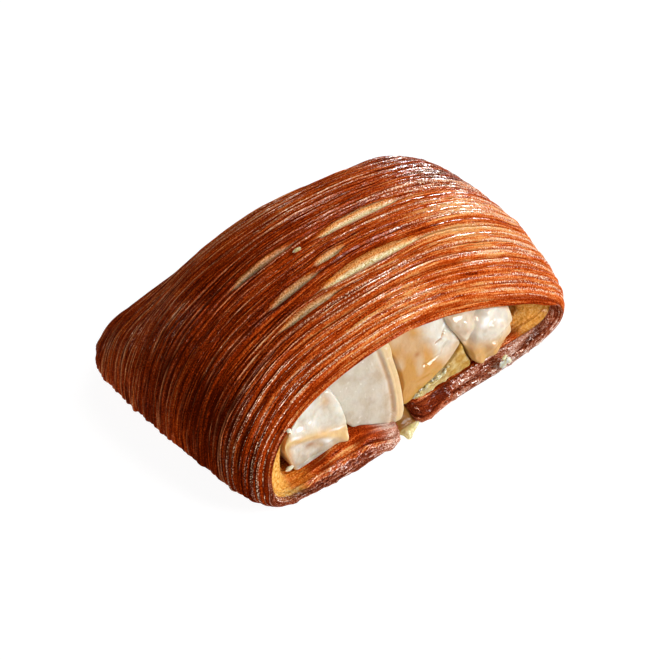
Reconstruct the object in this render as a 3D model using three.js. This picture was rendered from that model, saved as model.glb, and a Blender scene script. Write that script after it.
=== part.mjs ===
// Savoury danish: a ridged sheet of laminated dough folded round strips of chicken and sauce.
// Millimetres, Z up. X runs across the sleeve, Y from its open front to its open back.
import * as THREE from 'three';

// Sleeve: half widths each side of the middle and heights, at the front, middle and back
const LENGTH = 76;
const LEFT = [53.7, 59.1, 60.7];
const RIGHT = [58, 60.4, 53.2];
const HEIGHT_FRONT = 36.9;
const HEIGHT_CROWN = 47.3;
const HEIGHT_BACK = 23.4;
const CROWN_AT = 0.37;
const BACK_FALL = 2.95;
const SIDE_HEIGHT = [8.8, 7.3];
const LEFT_ROUND = [1.9, 2.25];
const RIGHT_ROUND = [1.72, 2.7];
const FOOT_FLAT = 0.45;
const FOOT_ROUND = 2.1;

// Ends: how far the lip sits back at the top, and how much both lips and corners roll in
const LIP_SETBACK = 7.3;
const LIP_SKEW = 4;
const LIP_DROOP = 4.4;
const BACK_SETBACK = 1.5;
const ROLL_FRONT = 5.8;
const ROLL_BACK = 6.4;
const CORNER_FRONT = 2;
const CORNER_BACK = 5.1;

// Pinch in the top near the back left corner
const PINCH_DEPTH = 5.4;
const PINCH_AT = 0.87;
const PINCH_REACH = 0.16;
const PINCH_ANGLE = 135;
const PINCH_SPREAD = 21;

// Wall of the sleeve, the two flaps under the filling and the seam between them
const WALL = [6.3, 7.4];
const FLAP_LEFT = 6.8;
const FLAP_RIGHT = 5.4;
const INSIDE_CORNER = 3;
const SEAM_X = -3.6;
const SEAM_GAP_ENDS = 6.4;
const SEAM_GAP_MIDDLE = 0.8;
const NOSE = 1.2;
const FLAP_ROUND_LEFT = 0.6;
const FLAP_ROUND_RIGHT = 3.8;
const FLAP_BULGE = 1.3;
const FLAP_LIFT = 3.2;
const FLAP_LIFT_X = -19;
const FLAP_LIFT_FROM = 0.055;
const FLAP_DROP = 2.6;
const CRUMB_LEFT = 2.5;
const CRUMB_RIGHT = 9;
const CRUMB_FROM = 0.12;

// Ridges of the sheet, and the splits between them: share of the length, place across, reach, opening
const RIDGES = 36;
const RIDGE_HEIGHT = 0.62;
const GROOVE_DEPTH = 0.2;
const SPLITS = [
  { at: 0.247, across: 0.503, reach: 0.048, open: 2.3 },
  { at: 0.464, across: 0.522, reach: 0.036, open: 1.8 },
  { at: 0.353, across: 0.476, reach: 0.018, open: 1.3 },
  { at: 0.317, across: 0.43, reach: 0.026, open: 1.3 },
  { at: 0.217, across: 0.428, reach: 0.032, open: 1.2 },
  { at: 0.49, across: 0.43, reach: 0.03, open: 1 },
];

// Mesh steps
const FLAT_STEPS = 6;
const CORNER_STEPS = 5;
const ARCH_STEPS = 32;
const INNER_STEPS = 14;
const NOSE_STEPS = 3;
const STRIP_SIDES = 20;
const STRIP_STEPS = 8;

// Filling: front outlines (x, z) of the strips, drawn anticlockwise seen from the front
const FILLING_GAP = 0.6;
const CHICKEN_1 = [[-40.6, 17.6], [-39, 8.6], [-37, 7.4], [-24, 7.4], [-20.6, 8.6], [-20, 11],
  [-20.6, 14], [-23, 19.4], [-25.8, 26.4], [-33, 24.8], [-38.4, 20.8]];
const CHICKEN_2 = [[-19.4, 10.8], [-17, 7.4], [-12, 6.6], [-7, 4.8], [-4.6, 4.6], [-3.5, 7], [-3.2, 12],
  [-3.5, 18], [-4.6, 25], [-6, 31.4], [-16, 31.2], [-24.8, 27.4], [-22, 19.8], [-19.9, 14.4]];
const CHICKEN_3 = [[-2.3, 6.4], [1, 7.2], [6, 9], [11, 11.2], [16, 14.2], [18, 16.6],
  [15.4, 22.8], [13.2, 30.4], [-4.8, 31.6], [-3.5, 25], [-2.4, 18], [-2.1, 12]];
const CHICKEN_4 = [[15.4, 25.4], [18.4, 19.6], [21.4, 12.8], [22.9, 8.4], [24.8, 6.1], [27.2, 6.4], [32.4, 9],
  [34.8, 12.4], [35.4, 17], [34, 21], [25.6, 26.4], [17.6, 30], [14.6, 30.4]];
const SAUCE = [[1.5, 6], [21.4, 6], [20.6, 9.6], [19.4, 13], [18.9, 15.4], [17.9, 14.3], [14.6, 11.7],
  [9.6, 9.2], [5, 7.4]];

// Drop of sauce in the front of the seam
const DRIP_X = -4.4;
const DRIP_FRONT = -39.3;
const DRIP_REACH = 4.6;
const DRIP_HEIGHT = [3.6, 6];

// Colours of the baked sheet, the chicken and the sauce
const CRUST = { color: 0xa4592c, roughness: 0.38, metalness: 0 };
const CHICKEN = { color: 0xe3d3bb, roughness: 0.42, metalness: 0 };
const SAUCE_LOOK = { color: 0xd2bb72, roughness: 0.4, metalness: 0 };

const clamp01 = (v) => Math.min(1, Math.max(0, v));
const mix = (a, b, k) => a + (b - a) * k;
const bump = (v, centre, spread) => Math.exp(-(((v - centre) / spread) ** 2));

function smooth(v) {
  const k = clamp01(v);
  return k * k * (3 - 2 * k);
}

// Value of a parabola through the front, middle and back sizes
function along([front, middle, back], t) {
  return front * (1 - t) * (1 - 2 * t) + 4 * middle * t * (1 - t) + back * t * (2 * t - 1);
}

// Repeatable random number between 0 and 1 for a whole number
function chance(n) {
  const v = Math.sin(n * 127.1 + 311.7) * 43758.5453;
  return v - Math.floor(v);
}

// Sizes of the outer section and of the hollow at t, from 0 at the front to 1 at the back
function sectionAt(t) {
  const fall = t < CROWN_AT
    ? (HEIGHT_CROWN - HEIGHT_FRONT) * ((CROWN_AT - t) / CROWN_AT) ** 2
    : (HEIGHT_CROWN - HEIGHT_BACK) * ((t - CROWN_AT) / (1 - CROWN_AT)) ** BACK_FALL;
  const gap = mix(SEAM_GAP_MIDDLE, SEAM_GAP_ENDS, Math.abs(2 * t - 1) ** 5);
  const wall = mix(...WALL, t);
  const crumb = smooth(Math.min(t, 1 - t) / CRUMB_FROM);
  return {
    t,
    left: along(LEFT, t),
    right: along(RIGHT, t),
    height: HEIGHT_CROWN - fall,
    side: mix(...SIDE_HEIGHT, t),
    roundLeft: mix(...LEFT_ROUND, t),
    roundRight: mix(...RIGHT_ROUND, t),
    wall,
    hollowLeft: along(LEFT, t) - wall - CRUMB_LEFT * crumb,
    hollowRight: along(RIGHT, t) - wall - CRUMB_RIGHT * crumb,
    tipLeft: SEAM_X - gap / 2,
    tipRight: SEAM_X + gap / 2,
  };
}

function pinchAt(t, degrees) {
  return PINCH_DEPTH * bump(t, PINCH_AT, PINCH_REACH) * bump(degrees, PINCH_ANGLE, PINCH_SPREAD);
}

// Front edge of the sleeve stands upright at the flaps and leans back up to the lip; Y of any point
function placeY(x, z, section) {
  const half = x < 0 ? section.left : section.right;
  const up = smooth(z / section.height);
  const corner = clamp01((Math.abs(x) / half - 0.75) / 0.25) ** 2;
  const bulge = FLAP_BULGE * bump(x, -15, 14) * (1 - smooth(z / 12));
  const lean = (LIP_SETBACK - LIP_SKEW * x / 60) * up;
  const front = -LENGTH / 2 + lean + CORNER_FRONT * corner - bulge;
  const back = LENGTH / 2 - BACK_SETBACK * up - CORNER_BACK * corner;
  return mix(front, back, section.t);
}

// Inward turn of the sheet towards one of its ends
function rollIn(distance, size) {
  const q = clamp01(1 - distance / (1.6 * size));
  return 0.8 * size * (1 - Math.sqrt(1 - q * q));
}

// Half of the flat foot and the rounded corner up to the widest point
function footProfile(tip, half, side, flat, roundness) {
  const edge = Math.sign(half) * Math.max(Math.abs(half) * flat, Math.abs(tip) + 1);
  const points = [];
  for (let i = 0; i < FLAT_STEPS; i += 1) {
    points.push([mix(tip, edge, i / FLAT_STEPS), 0]);
  }
  for (let i = 0; i < CORNER_STEPS; i += 1) {
    const a = (i / CORNER_STEPS) * Math.PI / 2;
    const k = Math.sin(a) ** (2 / roundness);
    points.push([mix(edge, half, k), side * (1 - Math.cos(a) ** (2 / roundness))]);
  }
  return points;
}

// Outer section from the left flap's tip over the top to the right flap's tip
function outerProfile(section) {
  const { left, right, side, height, roundLeft, roundRight, t } = section;
  const points = footProfile(section.tipLeft, -left, side, FOOT_FLAT, FOOT_ROUND);
  for (let i = 0; i <= ARCH_STEPS; i += 1) {
    const a = Math.PI * (1 - i / ARCH_STEPS);
    const c = Math.cos(a);
    const s = Math.sin(a);
    const n = c < 0 ? roundLeft : roundRight;
    const x = Math.sign(c) * (c < 0 ? left : right) * Math.abs(c) ** (2 / n);
    const droop = LIP_DROOP * bump(t, 0, 0.16) * smooth((x - 10) / 40) * s;
    const z = mix(side, height, s ** (2 / n)) - pinchAt(t, a * 180 / Math.PI) * smooth(s * 4) - droop;
    points.push([x, z]);
  }
  const rightFoot = footProfile(section.tipRight, right, side, FOOT_FLAT, FOOT_ROUND);
  points.push(...rightFoot.reverse());
  return points.map(([x, z]) => {
    const turn = rollIn(t * LENGTH, ROLL_FRONT) + rollIn((1 - t) * LENGTH, ROLL_BACK);
    const k = 1 - turn / Math.max(Math.hypot(x, z - side), 12) * smooth((z - 2) / 8);
    return [x * k, side + (z - side) * k];
  });
}

// Height of the hollow's roof at u, from -1 at its left end to 1 at its right end
function roofAt(u, section) {
  const { wall, height, roundLeft, roundRight, t } = section;
  const floor = (u < 0 ? FLAP_LEFT : FLAP_RIGHT) + INSIDE_CORNER;
  const n = u < 0 ? roundLeft : roundRight;
  const arch = Math.max(0, 1 - Math.abs(u) ** n) ** (1 / n);
  const degrees = Math.acos(clamp01(Math.abs(u)) * Math.sign(u)) * 180 / Math.PI;
  const droop = LIP_DROOP * bump(t, 0, 0.16) * smooth((u * section.right - 10) / 40) * arch;
  const z = mix(floor, height - wall, arch) - pinchAt(t, degrees) * smooth(arch * 4) - droop;
  return Math.max(z, floor + 0.3 * arch);
}

// Top of the flaps; the left one lifts a little inside and thins out towards the seam
function floorAt(x, t) {
  const lift = FLAP_LIFT * bump(x, FLAP_LIFT_X, 10) * smooth(t / FLAP_LIFT_FROM);
  const drop = FLAP_DROP * smooth((x - FLAP_LIFT_X + 2) / 15);
  return x < SEAM_X ? FLAP_LEFT + lift - drop : FLAP_RIGHT;
}

function hollowHalf(x, section) {
  return x < 0 ? section.hollowLeft : section.hollowRight;
}

// Section of the hollow, with as many points as the outer section
function innerProfile(section) {
  const left = -section.hollowLeft;
  const right = section.hollowRight;
  const corner = (half) => 1 - 5 / Math.abs(half);
  const onFloor = ([x, z]) => [x, z + floorAt(x, section.t)];
  const leftFloor = footProfile(section.tipLeft, left, INSIDE_CORNER, corner(left), 2);
  const rightFloor = footProfile(section.tipRight, right, INSIDE_CORNER, corner(right), 2);
  const points = leftFloor.map(onFloor);
  for (let i = 0; i <= ARCH_STEPS; i += 1) {
    const u = -Math.cos(Math.PI * i / ARCH_STEPS);
    points.push([u * hollowHalf(u, section), roofAt(u, section)]);
  }
  points.push(...rightFloor.map(onFloor).reverse());
  return points;
}

// Places along the sheet of the grooves and crests, front to back, with uneven spacing
function ridgeRows() {
  const widths = Array.from({ length: RIDGES }, (_, i) => 0.7 + 0.6 * chance(i));
  const total = widths.reduce((sum, w) => sum + w, 0);
  const rows = [{ t: 0, ridge: 0, crest: false }];
  let start = 0;
  widths.forEach((w, i) => {
    rows.push({ t: (start + w / 2) / total, ridge: i, crest: true });
    start += w;
    rows.push({ t: start / total, ridge: i + 1, crest: false });
  });
  return rows;
}

// Shift along the sleeve that parts the ridges round each split, in mm
function partingAt(t, across, grooves) {
  let shift = 0;
  for (const { at, across: middle, reach, open } of SPLITS) {
    const nearest = grooves.reduce((best, g) => (Math.abs(g - at) < Math.abs(best - at) ? g : best));
    const away = (t - nearest) / 0.035;
    const push = Math.sign(away) * Math.min(1, Math.abs(away) * 3) * Math.exp(-Math.abs(away));
    shift += 0.9 * open * bump(across, middle, reach) * push;
  }
  return shift;
}

// Outer skin with its ridges: one list of points for each groove and crest
function outerRows() {
  const rows = ridgeRows();
  const grooves = rows.filter((row) => !row.crest).map((row) => row.t);
  return rows.map((row) => {
    const section = sectionAt(row.t);
    const profile = outerProfile(section);
    const fade = smooth(row.t / 0.03) * smooth((1 - row.t) / 0.03);
    return profile.map(([x, z], j) => {
      const across = j / (profile.length - 1);
      const before = profile[Math.max(0, j - 1)];
      const after = profile[Math.min(profile.length - 1, j + 1)];
      const run = Math.hypot(after[0] - before[0], after[1] - before[1]);
      const normal = [-(after[1] - before[1]) / run, (after[0] - before[0]) / run];
      const wander = 0.35 * Math.sin(across * 19 + row.t * 9) + 0.2 * Math.sin(across * 43 - row.t * 21);
      const own = 0.55 + 0.9 * chance(row.ridge + 77);
      const crest = RIDGE_HEIGHT * own * (0.8 + 0.4 * Math.sin(across * 31 + row.ridge * 2.3));
      const above = smooth((z - 1) / 6) * fade;
      const lift = (row.crest ? crest : -GROOVE_DEPTH) * above;
      const shift = (partingAt(row.t, across, grooves) + wander) * above;
      return [x + normal[0] * lift, placeY(x, z, section) + shift, z + normal[1] * lift];
    });
  });
}

// Setback of a flap's upper front edge, which rounds the front of the flap
function flapInset(x, z, t) {
  const size = x < SEAM_X ? FLAP_ROUND_LEFT : FLAP_ROUND_RIGHT;
  return size * (1 - smooth((z - 8) / 8)) * (1 - smooth(t / 0.2));
}

// Inside of the sleeve, with rows closer together near its ends
function innerRows() {
  return Array.from({ length: INNER_STEPS + 1 }, (_, i) => {
    const section = sectionAt(0.5 - 0.5 * Math.cos(Math.PI * i / INNER_STEPS));
    return innerProfile(section).map(([x, z]) => [x, placeY(x, z, section) + flapInset(x, z, section.t), z]);
  });
}

// Rounded, lightly creased rows that join an outer edge to an inner edge
function noseRows(outer, inner, direction) {
  return Array.from({ length: NOSE_STEPS }, (_, i) => {
    const k = (i + 1) / (NOSE_STEPS + 1);
    return outer.map((p, j) => {
      const q = inner[j];
      const thick = Math.hypot(p[0] - q[0], p[2] - q[2]);
      const crease = 0.25 * Math.sin(i * 2.4 + j * 0.9) * smooth((thick - 3) / 4);
      const inset = Math.abs(q[1] - p[1]);
      const round = Math.min(NOSE + 0.35 * inset, thick * 0.4) * Math.sin(Math.PI * k);
      return [mix(p[0], q[0], k), mix(p[1], q[1], k) + direction * (round + crease), mix(p[2], q[2], k)];
    });
  });
}

function meshFrom(name, points, triangles, look) {
  const geometry = new THREE.BufferGeometry();
  geometry.setAttribute('position', new THREE.Float32BufferAttribute(points.flat(), 3));
  geometry.setIndex(triangles.flat());
  geometry.computeVertexNormals();
  const mesh = new THREE.Mesh(geometry, new THREE.MeshStandardMaterial(look));
  mesh.name = name;
  return mesh;
}

// Triangles between two chains of points that run side by side along Y
function zip(chainA, chainB, points, flip) {
  const triangles = [];
  let a = 0;
  let b = 0;
  while (a < chainA.length - 1 || b < chainB.length - 1) {
    const nextA = a < chainA.length - 1 ? points[chainA[a + 1]][1] : Infinity;
    const nextB = b < chainB.length - 1 ? points[chainB[b + 1]][1] : Infinity;
    if (nextA <= nextB) {
      triangles.push([chainA[a], chainA[a + 1], chainB[b]]);
      a += 1;
    } else {
      triangles.push([chainB[b + 1], chainB[b], chainA[a]]);
      b += 1;
    }
  }
  return flip ? triangles.map(([p, q, r]) => [p, r, q]) : triangles;
}

// The folded sheet: one solid that wraps from the left flap's tip to the right flap's tip
function makePastry() {
  const outer = outerRows();
  const inner = innerRows();
  const front = noseRows(outer[0], inner[0], -1);
  const back = noseRows(outer.at(-1), inner.at(-1), 1);
  const loop = [...outer, ...back, ...inner.slice().reverse(), ...front.slice().reverse()];
  const columns = outer[0].length;
  const at = (i, j) => (i % loop.length) * columns + j;
  const points = loop.flat();
  const triangles = [];
  for (let i = 0; i < loop.length; i += 1) {
    for (let j = 0; j < columns - 1; j += 1) {
      triangles.push([at(i, j), at(i, j + 1), at(i + 1, j)]);
      triangles.push([at(i, j + 1), at(i + 1, j + 1), at(i + 1, j)]);
    }
  }
  const outerIds = outer.map((_, i) => i);
  const otherIds = Array.from({ length: loop.length - outer.length }, (_, i) => loop.length - 1 - i);
  for (const column of [0, columns - 1]) {
    const chainA = outerIds.map((i) => at(i, column));
    const chainB = otherIds.map((i) => at(i, column));
    triangles.push(...zip(chainA, chainB, points, column > 0));
  }
  return meshFrom('pastry', points, triangles, CRUST);
}

// Even points round a rounded outline
function ringOf(outline) {
  const knots = outline.map(([x, z]) => new THREE.Vector3(x, 0, z));
  const curve = new THREE.CatmullRomCurve3(knots, true, 'catmullrom', 0.25);
  return curve.getSpacedPoints(STRIP_SIDES).slice(0, STRIP_SIDES);
}

// Solid through rings of points, closed at both ends
function loft(name, rings, look) {
  const sides = rings[0].length;
  const points = rings.flat();
  const triangles = [];
  for (let i = 0; i < rings.length - 1; i += 1) {
    for (let j = 0; j < sides; j += 1) {
      const a = i * sides + j;
      const b = i * sides + (j + 1) % sides;
      triangles.push([a, a + sides, b], [b, a + sides, b + sides]);
    }
  }
  for (const [ring, turn] of [[0, true], [rings.length - 1, false]]) {
    const centre = points.length;
    const sum = [0, 1, 2].map((k) => rings[ring].reduce((total, p) => total + p[k], 0) / sides);
    points.push(sum);
    for (let j = 0; j < sides; j += 1) {
      const a = ring * sides + j;
      const b = ring * sides + (j + 1) % sides;
      triangles.push(turn ? [a, b, centre] : [b, a, centre]);
    }
  }
  return meshFrom(name, points, triangles, look);
}

// Strip of filling that keeps its share of the hollow from the front to the back.
// Its lower front edge stands forward by the given reach.
function makeStrip(name, outline, { span: [frontT, backT], reach }, look) {
  const first = sectionAt(frontT);
  const deep = sectionAt(CRUMB_FROM);
  const shares = ringOf(outline).map(({ x, z }) => {
    const floor = floorAt(x, frontT);
    const roof = roofAt(x / hollowHalf(x, first), first);
    return [x / hollowHalf(x, deep), clamp01((z - floor) / (roof - floor))];
  });
  const ringAt = (t, scale) => {
    const section = sectionAt(t);
    const inside = sectionAt(Math.min(Math.max(t, CRUMB_FROM), 1 - CRUMB_FROM));
    const ring = shares.map(([u, v]) => {
      const x = u * hollowHalf(u, inside);
      const low = floorAt(x, t) + FILLING_GAP;
      const top = roofAt(x / hollowHalf(x, section), section) - FILLING_GAP;
      const z = mix(low, Math.max(top, low + FILLING_GAP), v);
      const forward = reach * (1 - v) * (1 - smooth((t - frontT) / 0.2));
      return [x, placeY(x, z, section) - forward, z];
    });
    const centre = [0, 1, 2].map((k) => ring.reduce((sum, p) => sum + p[k], 0) / ring.length);
    return ring.map((p) => [mix(centre[0], p[0], scale), p[1], mix(centre[2], p[2], scale)]);
  };
  const rings = [ringAt(frontT, 0.9)];
  for (let i = 0; i <= STRIP_STEPS; i += 1) {
    rings.push(ringAt(mix(frontT + 0.02, backT - 0.02, i / STRIP_STEPS), 1));
  }
  rings.push(ringAt(backT, 0.9));
  return loft(name, rings, look);
}

// Drop of sauce that has run out of the seam, thick in front and thinner inside
function makeDrip() {
  const rings = [];
  for (let i = 0; i <= 8; i += 1) {
    const k = i / 8;
    const swell = Math.sqrt(Math.max(0.02, Math.sin(Math.PI * mix(0.03, 0.72, k))));
    const half = mix(2.3, 1.2, k) * swell;
    const y = DRIP_FRONT + DRIP_REACH * k;
    const top = mix(...DRIP_HEIGHT, k);
    const ring = [];
    for (let j = 0; j < 12; j += 1) {
      const a = j / 12 * Math.PI * 2;
      const z = 0.3 + (top - 0.3) / 2 * (1 + swell * Math.sin(a));
      ring.push([DRIP_X + half * Math.cos(a), y, z]);
    }
    rings.push(ring);
  }
  return loft('sauce_drip', rings, SAUCE_LOOK);
}

// The whole pastry, centred over its base
const danish = new THREE.Group();
danish.add(
  makePastry(),
  makeStrip('chicken_1', CHICKEN_1, { span: [0.035, 0.93], reach: -2.2 }, CHICKEN),
  makeStrip('chicken_2', CHICKEN_2, { span: [0.035, 0.95], reach: -1.8 }, CHICKEN),
  makeStrip('chicken_3', CHICKEN_3, { span: [0.035, 0.92], reach: -2.2 }, CHICKEN),
  makeStrip('chicken_4', CHICKEN_4, { span: [0.03, 0.94], reach: 0.6 }, CHICKEN),
  makeStrip('sauce', SAUCE, { span: [0.04, 0.95], reach: -2 }, SAUCE_LOOK),
  makeDrip(),
);
const box = new THREE.Box3().setFromObject(danish);
danish.position.set(-(box.min.x + box.max.x) / 2, -(box.min.y + box.max.y) / 2, -box.min.z);
danish.updateMatrixWorld(true);

export default danish;
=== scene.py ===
import math
from types import SimpleNamespace

import bpy
import numpy as np
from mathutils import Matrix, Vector


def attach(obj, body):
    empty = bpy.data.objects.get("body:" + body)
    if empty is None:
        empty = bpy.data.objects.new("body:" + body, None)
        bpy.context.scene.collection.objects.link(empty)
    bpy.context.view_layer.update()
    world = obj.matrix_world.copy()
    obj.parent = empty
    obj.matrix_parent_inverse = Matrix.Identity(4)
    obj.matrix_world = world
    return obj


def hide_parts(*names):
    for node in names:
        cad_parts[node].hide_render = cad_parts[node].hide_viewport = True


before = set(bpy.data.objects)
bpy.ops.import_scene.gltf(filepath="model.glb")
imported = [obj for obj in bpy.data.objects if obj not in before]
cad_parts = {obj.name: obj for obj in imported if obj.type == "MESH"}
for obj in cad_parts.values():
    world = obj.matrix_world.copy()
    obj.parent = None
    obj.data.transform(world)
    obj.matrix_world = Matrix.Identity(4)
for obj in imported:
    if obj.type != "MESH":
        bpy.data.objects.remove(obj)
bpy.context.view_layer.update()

MM = 0.001
# Shift that centres the part over its base, in mm
CENTRE = np.array([-0.01, 0.47, 0.0])

# Sleeve, in mm: half widths and heights at the front, middle and back
LENGTH = 76
LEFT = (53.7, 59.1, 60.7)
RIGHT = (58, 60.4, 53.2)
HEIGHT_FRONT = 36.9
HEIGHT_CROWN = 47.3
HEIGHT_BACK = 23.4
CROWN_AT = 0.37
BACK_FALL = 2.95
SIDE_HEIGHT = (8.8, 7.3)
LEFT_ROUND = (1.9, 2.25)
RIGHT_ROUND = (1.72, 2.7)
FOOT_FLAT = 0.45
FOOT_ROUND = 2.1

# Ends, pinch at the back left, wall, flaps and seam
LIP_SETBACK = 7.3
LIP_SKEW = 4
LIP_DROOP = 4.4
LIP_BACK = 1.7
FOOT_BACK = 0.9
BACK_SETBACK = 1.5
ROLL_FRONT = 4.9
ROLL_BACK = 6.4
CORNER_FRONT = 2
CORNER_BACK = 5.1
PINCH_DEPTH = 5.4
PINCH_AT = 0.87
PINCH_REACH = 0.16
PINCH_ANGLE = 135
PINCH_SPREAD = 21
WALL = (5.5, 7.4)
FLAP_LEFT = 6.8
FLAP_RIGHT = 5.4
INSIDE_CORNER = 3
SEAM_X = -3.6
SEAM_GAP_ENDS = 6.4
SEAM_GAP_MIDDLE = 0.8
NOSE = 1.2
FLAP_ROUND_LEFT = 0.6
FLAP_ROUND_RIGHT = 3.8
FLAP_BULGE = 1.3
FLAP_LIFT = 3.2
FLAP_LIFT_X = -19
FLAP_LIFT_FROM = 0.055
FLAP_DROP = 4.2
TIP_ROUND = 2.2
CRUMB_LEFT = 5.6
CRUMB_RIGHT = 9
CRUMB_FROM = 0.12
CRUMB_FROM_LEFT = 0.06

# Ridges of the sheet, the thin layers that make them, and the splits, in mm and shares of the sheet
RIDGES = 36
RIDGE_HEIGHT = 0.34
GROOVE_DEPTH = 0.2
LAYER_WIDTH = 1.15
LAYER_ROWS = (0, 0.12, 0.24, 0.42, 0.9)
LAYER_GROOVE = 0.16
EDGE_HEIGHT = 0.32
SPLIT_DEPTH = 0.6
SPLIT_WIDTH = 0.035
SPLITS = (
    dict(at=0.247, across=0.503, reach=0.048, opening=2.4, pale=1.0),
    dict(at=0.464, across=0.522, reach=0.036, opening=1.8, pale=0.85),
    dict(at=0.353, across=0.476, reach=0.015, opening=1.0, pale=0.7),
    dict(at=0.317, across=0.43, reach=0.024, opening=0.9, pale=0.5),
    dict(at=0.217, across=0.428, reach=0.032, opening=0.9, pale=0.6),
    dict(at=0.49, across=0.43, reach=0.03, opening=0.8, pale=0.35),
)
# Swells and dents: height in mm, place and spread as shares across and along the sheet
SWELLS = (
    (1.3, (0.497, 0.88), (0.03, 0.14)),
    (-0.91, (0.59, 0.88), (0.028, 0.14)),
    (-0.6, (0.4, 0.95), (0.025, 0.1)),
    (0.8, (0.722, 0.3), (0.02, 0.14)),
)

# Mesh steps
FLAT_STEPS = 22
CORNER_STEPS = 26
ARCH_STEPS = 104
NOSE_STEPS = 26
RING_STEPS = 160
FACE_STEPS = 40
BODY_STEPS = 12
DRIP_STEPS = 40
DRIP_SIDES = 36
LUMP_ROWS = 12
LUMP_SIDES = 20

# Looks of the crust by zone: an amount, then the zone's sides or bands as zone() takes them
FRONT_TONE = (
    (0.9, dict(t=(0, 0.09), left=(-25, 30), right=(6, 26))),
    (-1.2, dict(t=(0.35, 0.1), right=(15, 25))),
)
CONTRAST = ((1.0, dict(right=(-17, 15), back=(0.1, 0.2))),)
TONE = (
    (0.5, dict(left=(8, 22), back=(0.38, 0.15))),
    (0.9, dict(x=(36, 14), t=(0.34, 0.16))),
    (0.2, dict(left=(40, 8), t=(0.12, 0.2))),
    (0.4, dict(right=(-2, 15), front=(0.55, 0.15))),
)
RIGHT_SIDE = (
    (1.0, dict(left=(14, 14), back=(0.3, 0.2))),
    (-0.6, dict(left=(32, 12), back=(0.3, 0.2))),
)
GOLDEN = dict(t=(0.24, 0.014), left=(12, 8), right=(50, 8))
# Golden band, and two dark bands that are painted shade in creases of the sheet
BANDS = (
    (1.3, GOLDEN),
    (-2.2, dict(t=(0.273, 0.013), left=(12, 8), right=(50, 8))),
    (-1.2, dict(t=(0.425, 0.012), left=(12, 8), right=(50, 8))),
)
# Darker crust by zone: baked browning, and on the left side also painted shade
BAKE_AND_SHADE = (
    (0.3, dict(right=(-45, 50))),
    (0.2, dict(right=(-45, 50), front=(0, 0.4))),
    (0.25, dict(high=(0, 9))),
    (0.27, dict(front=(0.4, 0.2), right=(10, 35))),
    (0.3, dict(front=(0.88, 0.12))),
    (0.4, dict(t=(0.6, 0.12), right=(20, 20))),
    (0.12, dict(left=(38, 12))),
    (0.25, dict(right=(-38, 20), back=(0.1, 0.25))),
    (0.45, dict(t=(0.06, 0.08), left=(8, 16))),
    (0.65, dict(right=(-52, 10), back=(0.25, 0.2))),
    (0.405, dict(front=(0.3, 0.3), left=(22, 15))),
    (0.495, dict(front=(0.3, 0.3), left=(22, 15), low=(10, 16))),
)
MORE_LINES = (
    (2.2, dict(front=(0.5, 0.15), right=(-5, 20))),
    (1.0, dict(left=(25, 20), back=(0.45, 0.2))),
    (1.0, dict(left=(-44, 10), right=(-20, 15), back=(0.08, 0.2))),
)
FEWER_LINES = (
    (-0.4, dict(x=(-6, 20), t=(0.45, 0.15))),
    (-0.7, GOLDEN),
)
# Gloss of the coat by zone; where the gloss is high, glint dots are also painted into the colour
LINE_GLOSS = (
    (0.3, dict(right=(-25, 20))),
    (-0.45, dict(front=(0.45, 0.1), right=(25, 15))),
    (1.9, dict(left=(10, 30), low=(10, 16))),
)
VEIL = (
    (0.16, dict(left=(14, 24), front=(0.28, 0.2), low=(10, 16))),
    (0.15, dict(left=(32, 15), low=(10, 16))),
    (0.05, dict(right=(-48, 14), front=(0.3, 0.3))),
)
DULL_BACK = ((-0.5, dict(left=(0, 12), front=(0.6, 0.15))),)
SHEEN = (
    (0.12, dict(left=(20, 12), t=(0, 0.06))),
    (0.8, dict(x=(43, 9), t=(0.345, 0.035))),
    (0.6, dict(x=(40, 7), t=(0.6, 0.05))),
)

# Filling: front outlines (x, z), anticlockwise seen from the front
FILLING_GAP = 0.5
CHICKEN_1 = ((-40.6, 17.6), (-39, 8.6), (-37, 7.4), (-25.5, 7.4), (-23.2, 8.6), (-22.5, 11),
             (-22.4, 14), (-23.2, 19.4), (-25.8, 26.4), (-33, 24.8), (-38.4, 20.8))
CHICKEN_2 = ((-21, 12.2), (-18.5, 9.0), (-12, 6.4), (-7, 3.6), (-4.6, 3.2), (-3.5, 6), (-3.2, 12),
             (-3.5, 18), (-4.6, 25), (-6, 31.4), (-16, 31.2), (-24.8, 27.4), (-22.2, 19.8), (-21.2, 14.8))
CHICKEN_3 = ((-2.3, 6.4), (1, 7.2), (6, 9), (11, 11.2), (16, 14.2), (18, 16.6),
             (15.4, 22.8), (13.2, 30.4), (-4.8, 31.6), (-3.5, 25), (-2.4, 18), (-2.1, 12))
CHICKEN_4 = ((15.4, 25.4), (18.4, 19.6), (21.4, 12.8), (22.9, 8.4), (24.8, 6.1), (27.2, 6.4), (32.4, 9),
             (34.8, 12.4), (35.4, 17), (34, 21), (25.6, 26.4), (17.6, 30), (14.6, 30.4))
SAUCE = ((1.5, 6), (21.4, 6), (20.6, 9.6), (19.4, 13), (18.9, 15.4), (17.9, 14.3), (14.6, 11.7),
         (9.6, 9.2), (5, 7.4))

# Lobes and hollows of the chicken: height, place and spread in mm
LOBES_1 = (
    (-0.6, (-33.2, 11.8), (2.2, 1.4)),
    (0.5, (-28.6, 10.8), (2.2, 1.2)),
    (1.6, (-22.6, 9.2), (2.6, 2.2)),
)
LOBES_3 = ((1.7, (4, 18), (11, 9)),)
LOBES_4 = (
    (1.2, (19, 23.6), (4, 4)),
    (2.4, (28.4, 16), (7, 9)),
)
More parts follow.
